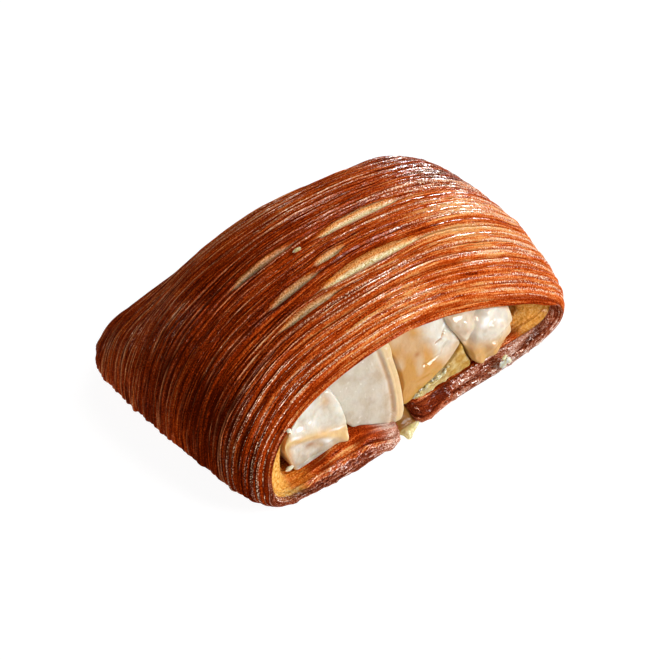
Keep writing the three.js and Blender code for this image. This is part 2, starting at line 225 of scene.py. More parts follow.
# Painted wet highlights in the chicken's colour: strength, place, half sizes in mm and slope
PAINTED_HIGHLIGHTS_1 = (
    (1.0, (-37.8, 18.6), (1.5, 0.45), -0.3),
    (1.0, (-24.8, 13.6), (2.0, 0.4), -0.2),
    (0.8, (-28.5, 11.4), (1.4, 0.8), -0.3),
)
PAINTED_HIGHLIGHTS_3 = ((0.9, (13.8, 25.6), (1.0, 0.5), 0.5),)
PAINTED_HIGHLIGHTS_4 = (
    (1.0, (25.8, 22.0), (1.7, 1.3), 0.4),
    (0.8, (30.6, 19.4), (1.2, 0.5), -0.5),
)
CRACK_AT = (11.2, 23.2)
CRACK_SLOPE = 0.35
VALLEY_SLOPE = 0.35

# Drop of sauce in the front of the seam
DRIP_X = -5.4
DRIP_FRONT = -39.8
DRIP_REACH = 8.5
DRIP_HEIGHT = (2.2, 3.8)

# Small bits: specks as centre, half sizes, seed and paleness, and how many crumbs and smear lumps
SPECKS = (
    ((-41.6, -33.0, 10.8), (1.2, 0.6, 0.45), 217, 1.3),
    ((-40.1, -31.2, 23.6), (0.7, 0.5, 0.6), 218, 1.4),
    ((-12.6, -0.1, 47.0), (1.4, 0.5, 0.6), 219, 0.55),
)
CRUMBS = 44
SMEAR = 9
LUMP_ROUGH = 0.25

# Look values that the points of the crust and of the chicken carry
CRUST_LOOKS = ("sheet_x", "sheet_y", "tone", "line", "groove", "pale", "rust", "bake", "crumb", "flap",
               "gloss")
MEAT_LOOKS = ("peach", "cream", "grey", "blush", "wet")

# Colours: ramps from dark to light, each colour with its place, and single colours
CRUST_COLOURS = ((0.0, (0.07, 0.005, 0.0003)), (0.25, (0.24, 0.021, 0.001)), (0.5, (0.50, 0.057, 0.005)),
                 (0.72, (0.73, 0.148, 0.023)), (1.0, (0.90, 0.43, 0.14)))
# Lighter crest lines: partly the crust's own colour, partly painted highlight
EDGE_COLOURS = ((0.1, (0.56, 0.17, 0.06)), (0.4, (0.80, 0.25, 0.08)), (0.75, (0.95, 0.51, 0.25)))
# Colour of the grooves between layers, also used as painted shade in the valleys between ridges
GROOVE_COLOUR = (0.18, 0.018, 0.002, 1)
# Near-white colour of the painted glints on the crust
GLINT_PAINT_COLOUR = (0.96, 0.68, 0.45, 1)
SPLIT_COLOURS = ((0.33, (0.62, 0.40, 0.12)), (0.47, (0.92, 0.74, 0.36)), (0.6, (0.98, 0.90, 0.62)))
RUST_COLOURS = ((0.3, (0.52, 0.085, 0.006)), (0.5, (0.78, 0.21, 0.018)), (0.7, (0.92, 0.42, 0.07)))
CRUMB_COLOURS = ((0.3, (0.60, 0.22, 0.03)), (0.5, (0.88, 0.42, 0.08)), (0.7, (0.95, 0.62, 0.22)))
# Colours of the flaps' torn ends; the palest stops are painted sparkles
FLAP_COLOURS = ((0.0, (0.08, 0.011, 0.004)), (0.3, (0.25, 0.042, 0.014)), (0.55, (0.44, 0.13, 0.06)),
                (0.85, (0.76, 0.44, 0.33)), (1.0, (0.90, 0.68, 0.58)))
MEAT_COLOURS = ((0.3, (0.58, 0.48, 0.37)), (0.5, (0.70, 0.64, 0.54)), (0.68, (0.75, 0.72, 0.64)))
GREY_COLOURS = ((0.35, (0.47, 0.38, 0.28)), (0.6, (0.57, 0.50, 0.40)))
# Tints of the chicken; the near-white wet one is a painted highlight
MEAT_TINTS = dict(peach=(0.54, 0.26, 0.055, 1), cream=(0.78, 0.52, 0.24, 1), blush=(0.42, 0.17, 0.05, 1),
                  wet=(0.95, 0.93, 0.88, 1))
SAUCE_COLOURS = ((0.3, (0.36, 0.16, 0.02)), (0.6, (0.50, 0.29, 0.06)))
PALE_SAUCE_COLOURS = ((0.3, (0.58, 0.48, 0.21)), (0.65, (0.80, 0.78, 0.50)))
# The film tint darkens the drip inside the seam: painted shade
SAUCE_TINTS = dict(white=(0.78, 0.76, 0.70, 1), film_shade=(0.26, 0.115, 0.025, 1))
FLOOR_COLOUR = (0.13, 0.13, 0.13, 1)
WHITE = (1, 1, 1, 1)

# Stage: floor in metres, glow of floor and sky, and lamps as name, direction, distance, size and power
FLOOR_HALF = 3.0
FLOOR_GLOW = 0.93
SKY_GLOW = 0.18
LAMP_AIM = Vector((0, 0, 0.02))
LAMPS = (
    ("key", (0.45, -0.7, 0.55), 0.9, 0.35, 7),
    ("top", (0.5, 0.15, 0.85), 0.9, 0.45, 2.2),
    ("shoulder", (0.75, 0.62, 0.16), 0.8, 0.35, 0.8),
)
# Lamps that show in reflections only, each with its colour at the end
GLOSS_LAMPS = (
    ("sheen", (0.45, -0.05, 0.88), 0.9, 0.45, 21, (1, 0.88, 0.75)),
    ("left_sheen", (-0.5, 0.1, 0.85), 0.9, 0.6, 11, (1, 0.9, 0.8)),
    ("low_sheen", (-0.57, -0.47, 0.64), 0.9, 0.5, 22, (1, 0.8, 0.62)),
    ("side_sheen", (0.87, 0.44, 0.2), 0.9, 0.45, 22, (0.97, 0.95, 1)),
    ("front_sheen", (0.42, -0.88, 0.15), 0.9, 0.3, 6, (1, 1, 1)),
)

# Camera: turn, height above the floor line, distance and aim, in degrees and mm
VIEW_TURN = -38.87
VIEW_RISE = 48.29
VIEW_DISTANCE = 433.43
VIEW_AIM = (-1.14, -7.54)
VIEW_LEVEL = 18
LENS = 85
SENSOR = 36


def mix(a, b, k):
    return a + (b - a) * k


def clamp01(v):
    return np.clip(v, 0, 1)


def smooth(v):
    k = clamp01(v)
    return k * k * (3 - 2 * k)


def rise(v, start, width):
    """Smooth step from 0 at the start to 1 after the width."""
    return smooth((v - start) / width)


def fall(v, start, width):
    """Smooth step from 1 at the start to 0 after the width."""
    return 1 - rise(v, start, width)


def within(k, margin):
    """0 at both ends of the range from 0 to 1, and 1 further in than the margin."""
    return smooth(k / margin) * smooth((1 - k) / margin)


def bump(v, centre, spread):
    return np.exp(-(((v - centre) / spread) ** 2))


def spot(x, z, centre, spread):
    """Soft round patch, 1 at its centre."""
    return bump(x, centre[0], spread[0]) * bump(z, centre[1], spread[1])


def spots(x, z, table):
    return sum(height * spot(x, z, centre, spread) for height, centre, spread in table)


def strokes(x, z, table):
    """Slanted soft strokes."""
    return sum(strength * spot(x, z - slope * (x - centre[0]), centre, sizes)
               for strength, centre, sizes, slope in table)


def chance(n):
    """Repeatable random number between 0 and 1 for each whole number."""
    v = np.sin(np.asarray(n, float) * 127.1 + 311.7) * 43758.5453
    return v - np.floor(v)


def noise(x, y, seed=0):
    """Soft random values between -1 and 1 over a plane."""
    x, y = np.broadcast_arrays(np.asarray(x, float), np.asarray(y, float))
    column = np.floor(x)
    row = np.floor(y)
    kx = smooth(x - column)
    ky = smooth(y - row)

    def corner(i, j):
        return chance((column + i) * 1.37 + (row + j) * 57.31 + seed * 13.17)

    low = mix(corner(0, 0), corner(1, 0), kx)
    high = mix(corner(0, 1), corner(1, 1), kx)
    return mix(low, high, ky) * 2 - 1


def zone(place, left=None, right=None, front=None, back=None, low=None, high=None, x=None, t=None):
    """Soft patch of the sheet, from 0 to 1.

    Each side is its start and width: left and right in mm across, front and back as shares of the
    length, low and high in mm of height. x and t are the middle and spread of a soft band.
    """
    value = 1.0
    for side, at in ((left, place.x), (front, place.t), (low, place.z)):
        if side:
            value = value * rise(at, *side)
    for side, at in ((right, place.x), (back, place.t), (high, place.z)):
        if side:
            value = value * fall(at, *side)
    for band, at in ((x, place.x), (t, place.t)):
        if band:
            value = value * bump(at, *band)
    return value


def total(zones, place):
    return sum(amount * zone(place, **sides) for amount, sides in zones)


def factor(zones, place):
    return math.prod(1 + amount * zone(place, **sides) for amount, sides in zones)


def full_looks(keys, x, **values):
    """Look values for every point; those not given are 0."""
    return {key: values.get(key, 0) + 0 * x for key in keys}


def along(sizes, t):
    """Parabola through the front, middle and back sizes."""
    front, middle, back = sizes
    return front * (1 - t) * (1 - 2 * t) + 4 * middle * t * (1 - t) + back * t * (2 * t - 1)


def seam_gap(t):
    return mix(SEAM_GAP_MIDDLE, SEAM_GAP_ENDS, np.abs(2 * t - 1) ** 5)


def section_at(t):
    """Sizes of the sleeve at t, from 0 at the front to 1 at the back."""
    front_drop = (HEIGHT_CROWN - HEIGHT_FRONT) * ((CROWN_AT - t) / CROWN_AT).clip(0) ** 2
    back_drop = (HEIGHT_CROWN - HEIGHT_BACK) * ((t - CROWN_AT) / (1 - CROWN_AT)).clip(0) ** BACK_FALL
    wall = mix(*WALL, t)
    from_end = np.minimum(t, 1 - t)
    return SimpleNamespace(
        t=t,
        left=along(LEFT, t),
        right=along(RIGHT, t),
        height=HEIGHT_CROWN - front_drop - back_drop,
        side=mix(*SIDE_HEIGHT, t),
        round_left=mix(*LEFT_ROUND, t),
        round_right=mix(*RIGHT_ROUND, t),
        wall=wall,
        hollow_left=along(LEFT, t) - wall - CRUMB_LEFT * smooth(from_end / CRUMB_FROM_LEFT),
        hollow_right=along(RIGHT, t) - wall - CRUMB_RIGHT * smooth(from_end / CRUMB_FROM),
        tip_left=SEAM_X - seam_gap(t) / 2,
        tip_right=SEAM_X + seam_gap(t) / 2,
    )


def pinch_at(t, degrees):
    return PINCH_DEPTH * bump(t, PINCH_AT, PINCH_REACH) * bump(degrees, PINCH_ANGLE, PINCH_SPREAD)


def place_y(x, z, section):
    """Y of a point: the front stands upright at the flaps and leans back up to the lip."""
    half = np.where(x < 0, section.left, section.right)
    up = smooth(z / section.height)
    corner = clamp01((np.abs(x) / half - 0.75) / 0.25) ** 2
    bulge = FLAP_BULGE * bump(x, -15, 14) * fall(z, 0, 12)
    lean = (LIP_SETBACK - LIP_SKEW * x / 60) * up
    front = -LENGTH / 2 + lean + CORNER_FRONT * corner - bulge
    back = LENGTH / 2 - BACK_SETBACK * up - CORNER_BACK * corner
    return mix(front, back, section.t)


def lip_back(x, z, t):
    """Setback of the lip over the opening, behind the front of the flaps."""
    return LIP_BACK * rise(z, 6, 16) * fall(x, 42, 10) * fall(t, 0, 0.25)


def foot_back(x, z, t):
    """Setback of the foot's front edge under the flaps."""
    return (FOOT_BACK + 0.5 * bump(x, 14, 12)) * fall(z, 0, 5) * fall(t, 0, 0.06)


def lip_droop(t, x):
    return LIP_DROOP * bump(t, 0, 0.16) * rise(x, 10, 40)


def roll_in(distance, size):
    q = clamp01(1 - distance / (1.6 * size))
    return 0.8 * size * (1 - np.sqrt(1 - q * q))


def tip_round(x, z, section):
    """Setback that rounds the front corner of each flap's tip."""
    near = np.where(x < SEAM_X, section.tip_left - x, x - section.tip_right)
    q = clamp01(1 - near / 4) * fall(z, 9, 4)
    end = fall(section.t, 0, 0.1) - rise(section.t, 0.9, 0.1)
    return TIP_ROUND * (1 - np.sqrt(1 - q * q)) * end


def foot_profile(tip, half, side, flat, roundness):
    """Half of the flat foot and the rounded corner up to the widest point."""
    edge = np.sign(half) * np.maximum(np.abs(half) * flat, np.abs(tip) + 1)
    flat_x = mix(tip, edge, np.arange(FLAT_STEPS) / FLAT_STEPS)
    angle = np.arange(CORNER_STEPS) / CORNER_STEPS * math.pi / 2
    corner_x = mix(edge, half, np.sin(angle) ** (2 / roundness))
    corner_z = side * (1 - np.cos(angle) ** (2 / roundness)) + 0 * half
    return np.hstack([flat_x, corner_x]), np.hstack([0 * flat_x, corner_z])


def whole_profile(left, arch, right):
    """Section from the left flap's tip over the arch to the right flap's tip, as x and z."""
    return [np.hstack([a, b, c[:, ::-1]]) for a, b, c in zip(left, arch, right)]


def outer_profile(section):
    """Outer section from the left flap's tip over the top to the right flap's tip."""
    t = section.t
    angle = math.pi * (1 - np.arange(ARCH_STEPS + 1) / ARCH_STEPS)
    c = np.cos(angle)
    s = np.abs(np.sin(angle))
    n = np.where(c < 0, section.round_left, section.round_right)
    half = np.where(c < 0, section.left, section.right)
    arch_x = np.sign(c) * half * np.abs(c) ** (2 / n)
    arch_z = mix(section.side, section.height, s ** (2 / n))
    arch_z = arch_z - pinch_at(t, np.degrees(angle)) * smooth(s * 4) - lip_droop(t, arch_x) * s
    left = foot_profile(section.tip_left, -section.left, section.side, FOOT_FLAT, FOOT_ROUND)
    right = foot_profile(section.tip_right, section.right, section.side, FOOT_FLAT, FOOT_ROUND)
    x, z = whole_profile(left, (arch_x, arch_z), right)
    turn = roll_in(t * LENGTH, ROLL_FRONT) + roll_in((1 - t) * LENGTH, ROLL_BACK)
    k = 1 - turn / np.maximum(np.hypot(x, z - section.side), 12) * rise(z, 2, 8)
    return x * k, section.side + (z - section.side) * k


def roof_at(u, section):
    """Height of the hollow's roof at u, from -1 at its left end to 1 at its right end."""
    floor = np.where(u < 0, FLAP_LEFT, FLAP_RIGHT) + INSIDE_CORNER
    n = np.where(u < 0, section.round_left, section.round_right)
    arch = (1 - np.abs(u) ** n).clip(0) ** (1 / n)
    degrees = np.degrees(np.arccos(np.clip(u, -1, 1)))
    z = mix(floor, section.height - section.wall, arch)
    z = z - pinch_at(section.t, degrees) * smooth(arch * 4) - lip_droop(section.t, u * section.right) * arch
    return np.maximum(z, floor + 0.3 * arch)


def floor_at(x, t):
    """Top of the flaps; the left one lifts a little inside and thins out towards the seam."""
    lift = FLAP_LIFT * bump(x, FLAP_LIFT_X, 10) * rise(t, 0, FLAP_LIFT_FROM)
    drop = FLAP_DROP * rise(x, FLAP_LIFT_X - 2, 15)
    return np.where(x < SEAM_X, FLAP_LEFT + lift - drop, FLAP_RIGHT)


def hollow_half(x, section):
    return np.where(x < 0, section.hollow_left, section.hollow_right)


def inner_profile(section):
    """Section of the hollow, with as many points as the outer section."""
    sides = []
    for tip, half in ((section.tip_left, -section.hollow_left), (section.tip_right, section.hollow_right)):
        x, z = foot_profile(tip, half, INSIDE_CORNER, 1 - 5 / np.abs(half), 2)
        sides.append((x, z + floor_at(x, section.t)))
    u = -np.cos(math.pi * np.arange(ARCH_STEPS + 1) / ARCH_STEPS)
    return whole_profile(sides[0], (u * hollow_half(u, section), roof_at(u, section)), sides[1])


def across_places():
    """Share of the way round the section for each column, evenly spread over foot, corner and arch."""
    flat = np.arange(FLAT_STEPS) / FLAT_STEPS * 5
    corner = 5 + np.arange(CORNER_STEPS) / CORNER_STEPS * 6
    arch = 11 + np.arange(ARCH_STEPS + 1) / ARCH_STEPS * 32
    first = np.hstack([flat, corner])
    return np.hstack([first, arch, (54 - first)[::-1]])[None, :] / 54


def layer_rows():
    """Rows along the sheet: each ridge is made of thin layers with a few rows each."""
    widths = 0.7 + 0.6 * chance(np.arange(RIDGES))
    starts = np.hstack([0, np.cumsum(widths)]) / widths.sum()
    rows = []
    layer = 0
    for ridge in range(RIDGES):
        width = (starts[ridge + 1] - starts[ridge]) * LENGTH
        crowded = 1 + 1.3 * bump(starts[ridge], 0, 0.06)
        count = max(1, round(width * crowded / LAYER_WIDTH))
        shares = 0.6 + 0.8 * chance(1000 + ridge * 7 + np.arange(count))
        edges = np.hstack([0, np.cumsum(shares)]) / shares.sum()
        for i in range(count):
            turned = chance(layer + 900) < 0.35
            for k in sorted((1 - k) % 1 for k in LAYER_ROWS) if turned else LAYER_ROWS:
                share = mix(edges[i], edges[i + 1], k)
                place = mix(starts[ridge], starts[ridge + 1], share)
                rows.append((place, ridge, share, layer, k, 0.8 if turned else 0.2))
            layer += 1
    rows.append((1.0, RIDGES - 1, 1.0, layer, 0.0, 0.2))
    values = np.array(rows).T[:, :, None]
    return SimpleNamespace(t=values[0], ridge=values[1], share=values[2], layer=values[3],
                           part=values[4], crest=values[5], grooves=starts)


def split_fields(t, across, grooves):
    """Shift that parts the ridges round each split in mm, and masks of the floors, edges and reach."""
    shift = 0 * t * across
    floor = shift.copy()
    back_edge = shift.copy()
    near = shift.copy()
    for split in SPLITS:
        nearest = grooves[np.argmin(np.abs(grooves - split["at"]))]
        away = (t - nearest) / SPLIT_WIDTH
        width = bump(across, split["across"], split["reach"])
        push = np.sign(away) * np.minimum(1, np.abs(away) * 3) * np.exp(-np.abs(away))
        shift += 0.9 * split["opening"] * width * push
        half = 0.25 * rise(width, 0.1, 0.7)
        inside = split["pale"] * smooth((half - np.abs(away)) / 0.05)
        floor += inside
        near = np.maximum(near, split["pale"] * width * bump(away, 0.7, 0.9))
        back_edge += inside * rise(away / (half + 0.02), -0.05, 0.8)
        back_edge += 0.8 * split["pale"] * smooth(half / 0.15) * bump(away, half + 0.04, 0.07)
    floor = clamp01(floor)
    return SimpleNamespace(shift=shift, floor=floor, back_edge=clamp01(back_edge), near=near,
                           calm=1 - 0.9 * floor)


def layer_fields(rows, across):
    """Arch of each ridge, strength of each thin layer's edge, and masks of the edges and grooves."""
    fades = 0.55 + 0.8 * noise(across * 15, rows.layer * 3.7, 5)
    fades = fades + 0.5 * noise(across * 50, rows.layer * 5.1, 7)
    return SimpleNamespace(
        arch=np.sin(math.pi * rows.share) ** 0.8,
        strength=np.maximum(0.35 + 0.75 * chance(rows.layer + 300) ** 1.5, 0.75 * bump(rows.t, 0, 0.1)),
        fades=clamp01(fades),
        edge=bump(rows.part, rows.crest, 0.095),
        groove=bump(rows.part, 0, 0.05) + bump(rows.part, 1, 0.05),
    )


def sheet_lift(sheet_x, z, across, rows, layers, splits):
    """Height of ridges, layers, lumps, splits and swells over the smooth sheet, in mm."""
    t = rows.t
    own = 0.55 + 0.9 * chance(rows.ridge + 77)
    wave = 0.8 + 0.4 * np.sin(across * 31 + rows.ridge * 2.3)
    ridge = mix(-GROOVE_DEPTH, RIDGE_HEIGHT * own * wave, layers.arch)
    layer = EDGE_HEIGHT * layers.strength * (0.3 + 0.7 * layers.fades) * layers.edge
    layer = layer - LAYER_GROOVE * layers.groove + 0.08 * np.sin(math.pi * rows.part)
    lumps = 0.12 * noise(sheet_x / 2.6, t * LENGTH / 1.3, 9)
    split = -SPLIT_DEPTH * splits.floor * (1 - 0.6 * splits.back_edge)
    split = split + 0.35 * splits.back_edge * (1 - splits.floor)
    large = ridge * splits.calm + lumps + split + spots(across, t, SWELLS)
    return large * clear_sheet(z, t) + layer * within(t, 0.012) * rise(z, -1, 5) * splits.calm


def clear_sheet(z, t):
    """1 on the sheet, 0 on its foot and at its two ends."""
    return rise(z, 1, 6) * within(t, 0.03)


def outer_looks(place, sheet_x, across, rows, layers, splits):
    """Look values of the sheet's outside."""
    tone = 0.3 * (2 * chance(rows.ridge + 500) - 1) + 0.4 * (2 * chance(rows.layer + 700) - 1)
    tone = tone + 0.35 * noise(across * 8, rows.layer * 5.3, 21) + 0.25 * noise(across * 4, place.t * 9, 33)
    tone = (tone + total(FRONT_TONE, place)) * factor(CONTRAST, place)
    tone = tone + total(TONE, place) - 0.9 * splits.near
    right_side = total(RIGHT_SIDE, place)
    tone = tone * (1 - 0.35 * right_side) + right_side + total(BANDS, place)

    # Darker grooves between the thin layers, and painted shade in the valleys between ridges
    groove_and_valley_shade = (0.4 + 0.6 * chance(rows.layer + 1300)) * layers.groove + 0.7 * (1 - layers.arch) ** 2
    # Lighter crest lines, partly painted highlight
    line = layers.edge * (2.4 * layers.fades * layers.strength - 0.1) * (1 + total(MORE_LINES, place))
    line = clamp01(line) * splits.calm * (1 - 0.7 * splits.near) * factor(FEWER_LINES, place)
    # Gloss of the coat; high gloss also paints glint dots into the colour
    shine = np.maximum(rise(place.x, -40, 35), fall(place.t, 0.05, 0.15))
    gloss = 1.5 * line * mix(0.06, 1, shine) * factor(LINE_GLOSS, place) + total(VEIL, place)
    gloss = gloss * factor(DULL_BACK, place) + total(SHEEN, place)
    return full_looks(
        CRUST_LOOKS, place.x, sheet_x=sheet_x, sheet_y=place.t * LENGTH, tone=tone, line=line,
        groove=clamp01(groove_and_valley_shade) * splits.calm, pale=splits.floor, rust=splits.back_edge,
        bake=clamp01(total(BAKE_AND_SHADE, place)), gloss=gloss)


def outer_skin(across):
    """Points and looks of the sheet's outside, row by row from the front."""
    rows = layer_rows()
    t = rows.t
    section = section_at(t)
    x, z = outer_profile(section)
    run_x = np.gradient(x, axis=1)
    run_z = np.gradient(z, axis=1)
    run = np.hypot(run_x, run_z)
    steps = np.hypot(np.diff(x, axis=1), np.diff(z, axis=1))
    reach = np.hstack([np.zeros_like(t), np.cumsum(steps, axis=1)])
    sheet_x = reach - reach[:, [reach.shape[1] // 2]]
    splits = split_fields(t, across, rows.grooves)
    layers = layer_fields(rows, across)
    lift = sheet_lift(sheet_x, z, across, rows, layers, splits)
    wander = 0.35 * np.sin(across * 19 + t * 9) + 0.2 * np.sin(across * 43 - t * 21)
    wander = wander + 0.3 * noise(across * 11, t * 30, 3)
    y = place_y(x, z, section) + lip_back(x, z, t) + foot_back(x, z, t) + tip_round(x, z, section)
    y = y + (splits.shift + wander) * clear_sheet(z, t)
    points = np.stack([x - run_z / run * lift, y, np.maximum(z + run_x / run * lift, 0)], axis=-1)
    place = SimpleNamespace(x=x, z=z, t=t)
    return points, outer_looks(place, sheet_x, across, rows, layers, splits)


def inner_places():
    """Rows of the hollow, close together near the front where they show."""
    return np.hstack([np.linspace(0, 0.115, 32), np.linspace(0.115, 0.94, 14)[1:],
                      np.linspace(0.94, 1, 9)[1:]])[:, None]


def inner_skin():
    """Points and looks of the hollow, row by row from the front."""
    t = inner_places()
    section = section_at(t)
    x, z = inner_profile(section)
    inset = np.where(x < SEAM_X, FLAP_ROUND_LEFT, FLAP_ROUND_RIGHT) * fall(z, 8, 8) * fall(t, 0, 0.2)
    y = place_y(x, z, section) + lip_back(x, z, t) + inset + tip_round(x, z, section)
    depth = y + LENGTH / 2
    on_flap = fall(z, 9, 5)
    lines = 0.3 * noise(x / 9, depth / 0.7, 41) + 0.3 * noise(x / 4, depth / 1.1, 43)
    pores = 0.5 * noise(x / 1.3, (z + depth) / 1.2, 47) + 0.3 * noise(x / 0.7, (z - depth) / 0.6, 49)
    z = z + mix(pores, lines, on_flap) * fall(t, 0.1, 0.05) * rise(t, 0, 0.01)
    points = np.stack([x, y, z], axis=-1)

    crumb = clamp01(rise(z, 11, 4) * rise(t, 0, 0.02) + rise(x, 39, 5) + fall(x, -44.5, 2.5))
    stripe = lines / 0.4
    # Tip of the left flap: painted lighter and pinkish, with glints, for its sparkles
    tip = bump(x, -9, 4) * (x < SEAM_X) * fall(depth, 5, 4) * on_flap
    sparkle = clamp01(0.4 + 1.5 * noise(x / 0.9, depth / 0.7, 55))
    looks = full_looks(
        CRUST_LOOKS, x, sheet_x=x, sheet_y=depth, tone=0.6 + 1.2 * noise(x / 12, depth / 0.8, 51) + 1.2 * tip,
        line=0.3 * clamp01(stripe), groove=clamp01(-1.6 * stripe), rust=0.6 * fall(x, -39, 4) * (1 - crumb),
        bake=0.2 + 0.6 * smooth(noise(x / 5, depth / 2.5, 53) / 0.5), crumb=crumb, flap=0.8 * tip,
        gloss=clamp01(0.8 * clamp01(stripe) ** 2 + tip * sparkle))
    return points, looks


def torn_fields(x, k):
    """Torn front of the right flap: a craggy strand up to a bend, and a smoother face above it."""
    crags = 1 - 2.4 * np.abs(noise(x / 2.4 + k * 2, k * 6 - x / 12, 63))
    crags = 0.7 * crags + 0.6 * noise(x / 0.9, k * 12, 65)
    bend = 0.45 + 0.06 * noise(x / 6, 0.5, 64)
    rough = rise(x, 9, 8)
    face = mix(0.15, 0.45, rough) * noise(x / 8 + k, k * 7 - x / 10, 66) + 0.12 * noise(x / 1.5, k * 11, 68)
    return SimpleNamespace(crags=crags, bend=bend, strand=smooth((bend - k) / 0.08), rough=rough, face=face)


def nose_fields(x, z, step, front_end):
    """Masks of the two flaps and of the left one's tip, and the crests of the layers in the nose."""
    low = fall(z, 10, 4)
    left_flap = fall(x, SEAM_X - 2, 2) * low
    crest = np.where(step % 3 == 1, 1, np.where(step % 3 == 2, 0.35, 0))
    return SimpleNamespace(
        left_flap=left_flap,
        right_flap=rise(x, SEAM_X, 2) * low * front_end,
        tip=left_flap * front_end * bump(x, -9, 4),
        crest=crest * clamp01(0.6 + noise(x / 8, step // 3 * 5.3, 61)),
        groove=step % 3 == 0,
        front_end=front_end,
    )


def nose_looks(x, z, k, down, nose, torn):
    """Look values of the nose, down being the distance from its outer edge."""
    left_flap = nose.left_flap
    right_flap = nose.right_flap
    seen_left = left_flap * nose.front_end
    front = left_flap * (1 - rise(k, 0.78, 0.08) * (1 - nose.tip))
    # Pale dotted rim on the left flap: partly painted highlight
    rim = seen_left * bump(k, 0.8, 0.03) * clamp01(0.5 + 1.3 * noise(x / 1.4, 0.5, 73))
    light = rise(x, -32, 34) * fall(x, 22, 16)
    lip = (0.2 + 0.3 * (1 - light)) * (1 - left_flap)
    line = mix(0.5, 0.9, left_flap) * nose.crest * (1 - right_flap - 0.5 * front) + rim
    tone = 0.7 * light + 1.1 * noise(x / 7, down / 0.7, 67) - front * (1.2 - 1.5 * nose.crest)
    torn_tone = mix(3 * torn.face - mix(1.9, 0.4, torn.rough), 0.2 + 1.5 * torn.crags, torn.strand)
    torn_tone = torn_tone - 1.5 * bump(k, torn.bend, 0.06) + 0.8 * bump(x, 35, 8)
    # Glints raise the coat gloss and also paint glint dots into the colour; the left flap's tip is painted
    # lighter for its sparkles
    glint = right_flap * (1 - bump(k, torn.bend, 0.12)) * clamp01(torn.crags - 0.3)
    glint = glint * mix(0.2, 1, np.maximum(torn.strand, 0.6 * torn.rough))
    glint = glint + 0.9 * seen_left * clamp01(noise(x / 1.1, k * 9, 75) - 0.3)
    glint = glint + nose.tip * clamp01(0.3 + 1.5 * noise(x / 0.9, k * 8, 77))
    corner = fall(x, -43, 5) * rise(k, 0.5, 0.2) * nose.front_end * fall(z, 20, 4)
    return full_looks(
        CRUST_LOOKS, x, sheet_x=x, sheet_y=down, tone=mix(tone, torn_tone, right_flap) + 1.2 * nose.tip,
        line=clamp01(line), groove=0.7 * nose.groove * (1 - right_flap), bake=lip + 0.5 * front, crumb=corner,
        flap=clamp01(right_flap * mix(0.75, 1, torn.rough) + 0.9 * front), gloss=clamp01(0.7 * line + glint))


def nose_rows(outer, inner, direction):
    """Rounded, layered rows that join an outer edge to an inner edge."""
    step = (np.arange(NOSE_STEPS) + 1)[:, None]
    k = step / (NOSE_STEPS + 1)
    x, y, z = (mix(outer[None, :, axis], inner[None, :, axis], k) for axis in range(3))
    thick = np.hypot(outer[:, 0] - inner[:, 0], outer[:, 2] - inner[:, 2])[None, :]
    inset = np.abs(outer[:, 1] - inner[:, 1])[None, :]
    down = k * thick
    nose = nose_fields(x, z, step, direction < 0)
    torn = torn_fields(x, k)
    swell = np.minimum(NOSE + 0.35 * inset, thick * 0.4) * np.sin(math.pi * k)
    swell = swell * (1 - 0.7 * nose.right_flap * rise(x, 2, 10))
    lines = 0.35 * nose.crest - 0.15 + 0.2 * noise(x / 3, down / 0.8, 62)
    lines = lines + (0.4 + 0.5 * nose.tip) * noise(x / 1.4, down / 1.2, 69) * nose.left_flap
    folds = mix(torn.face, 0.2 + 0.6 * torn.crags, torn.strand) - 0.9 * bump(k, torn.bend, 0.06)
    relief = mix(lines, folds, nose.right_flap) * rise(thick, 2, 5) * within(k, 0.12)
    points = np.stack([x, y + direction * (swell + relief), z], axis=-1)
    return points, nose_looks(x, z, k, down, nose, torn)


def zip_chains(chain_a, chain_b, points, flip):
    """Triangles between two chains of points that run side by side along Y."""
    faces = []
    a = 0
    b = 0
    while a < len(chain_a) - 1 or b < len(chain_b) - 1:
        next_a = points[chain_a[a + 1]][1] if a < len(chain_a) - 1 else math.inf
        next_b = points[chain_b[b + 1]][1] if b < len(chain_b) - 1 else math.inf
        if next_a <= next_b:
            face = (chain_a[a], chain_a[a + 1], chain_b[b])
            a += 1
        else:
            face = (chain_b[b + 1], chain_b[b], chain_a[a])
            b += 1
        faces.append(face[::-1] if flip else face)
    return faces


def tube(rings):
    """Points and faces of a closed skin over rings of points, with a hub in the middle of each end."""
    count, sides = rings.shape[:2]
    ids = np.arange(count * sides).reshape(count, sides)
    after = np.roll(ids, -1, axis=1)
    points = np.vstack([rings.reshape(-1, 3), rings[0].mean(axis=0), rings[-1].mean(axis=0)])
    faces = np.stack([ids[:-1], ids[1:], after[1:], after[:-1]], axis=-1).reshape(-1, 4).tolist()
    faces += [[a, b, ids.size] for a, b in zip(ids[0].tolist(), after[0].tolist())]
    faces += [[b, a, ids.size + 1] for a, b in zip(ids[-1].tolist(), after[-1].tolist())]
    return points, faces


def new_piece(name, points, faces, looks, node=None):
    """Mesh object in metres with its look values on the points."""
    mesh = bpy.data.meshes.new(name)
    mesh.from_pydata(((np.asarray(points) + CENTRE) * MM).tolist(), [], faces)
    mesh.polygons.foreach_set("use_smooth", np.ones(len(mesh.polygons), bool))
    for key, values in looks.items():
        layer = mesh.attributes.new(key, "FLOAT", "POINT")
        layer.data.foreach_set("value", np.asarray(values, np.float32).ravel())
    mesh.update()
    piece = bpy.data.objects.new(name, mesh)
    bpy.context.scene.collection.objects.link(piece)
    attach(piece, "root")
    if node:
        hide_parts(node)
    return piece


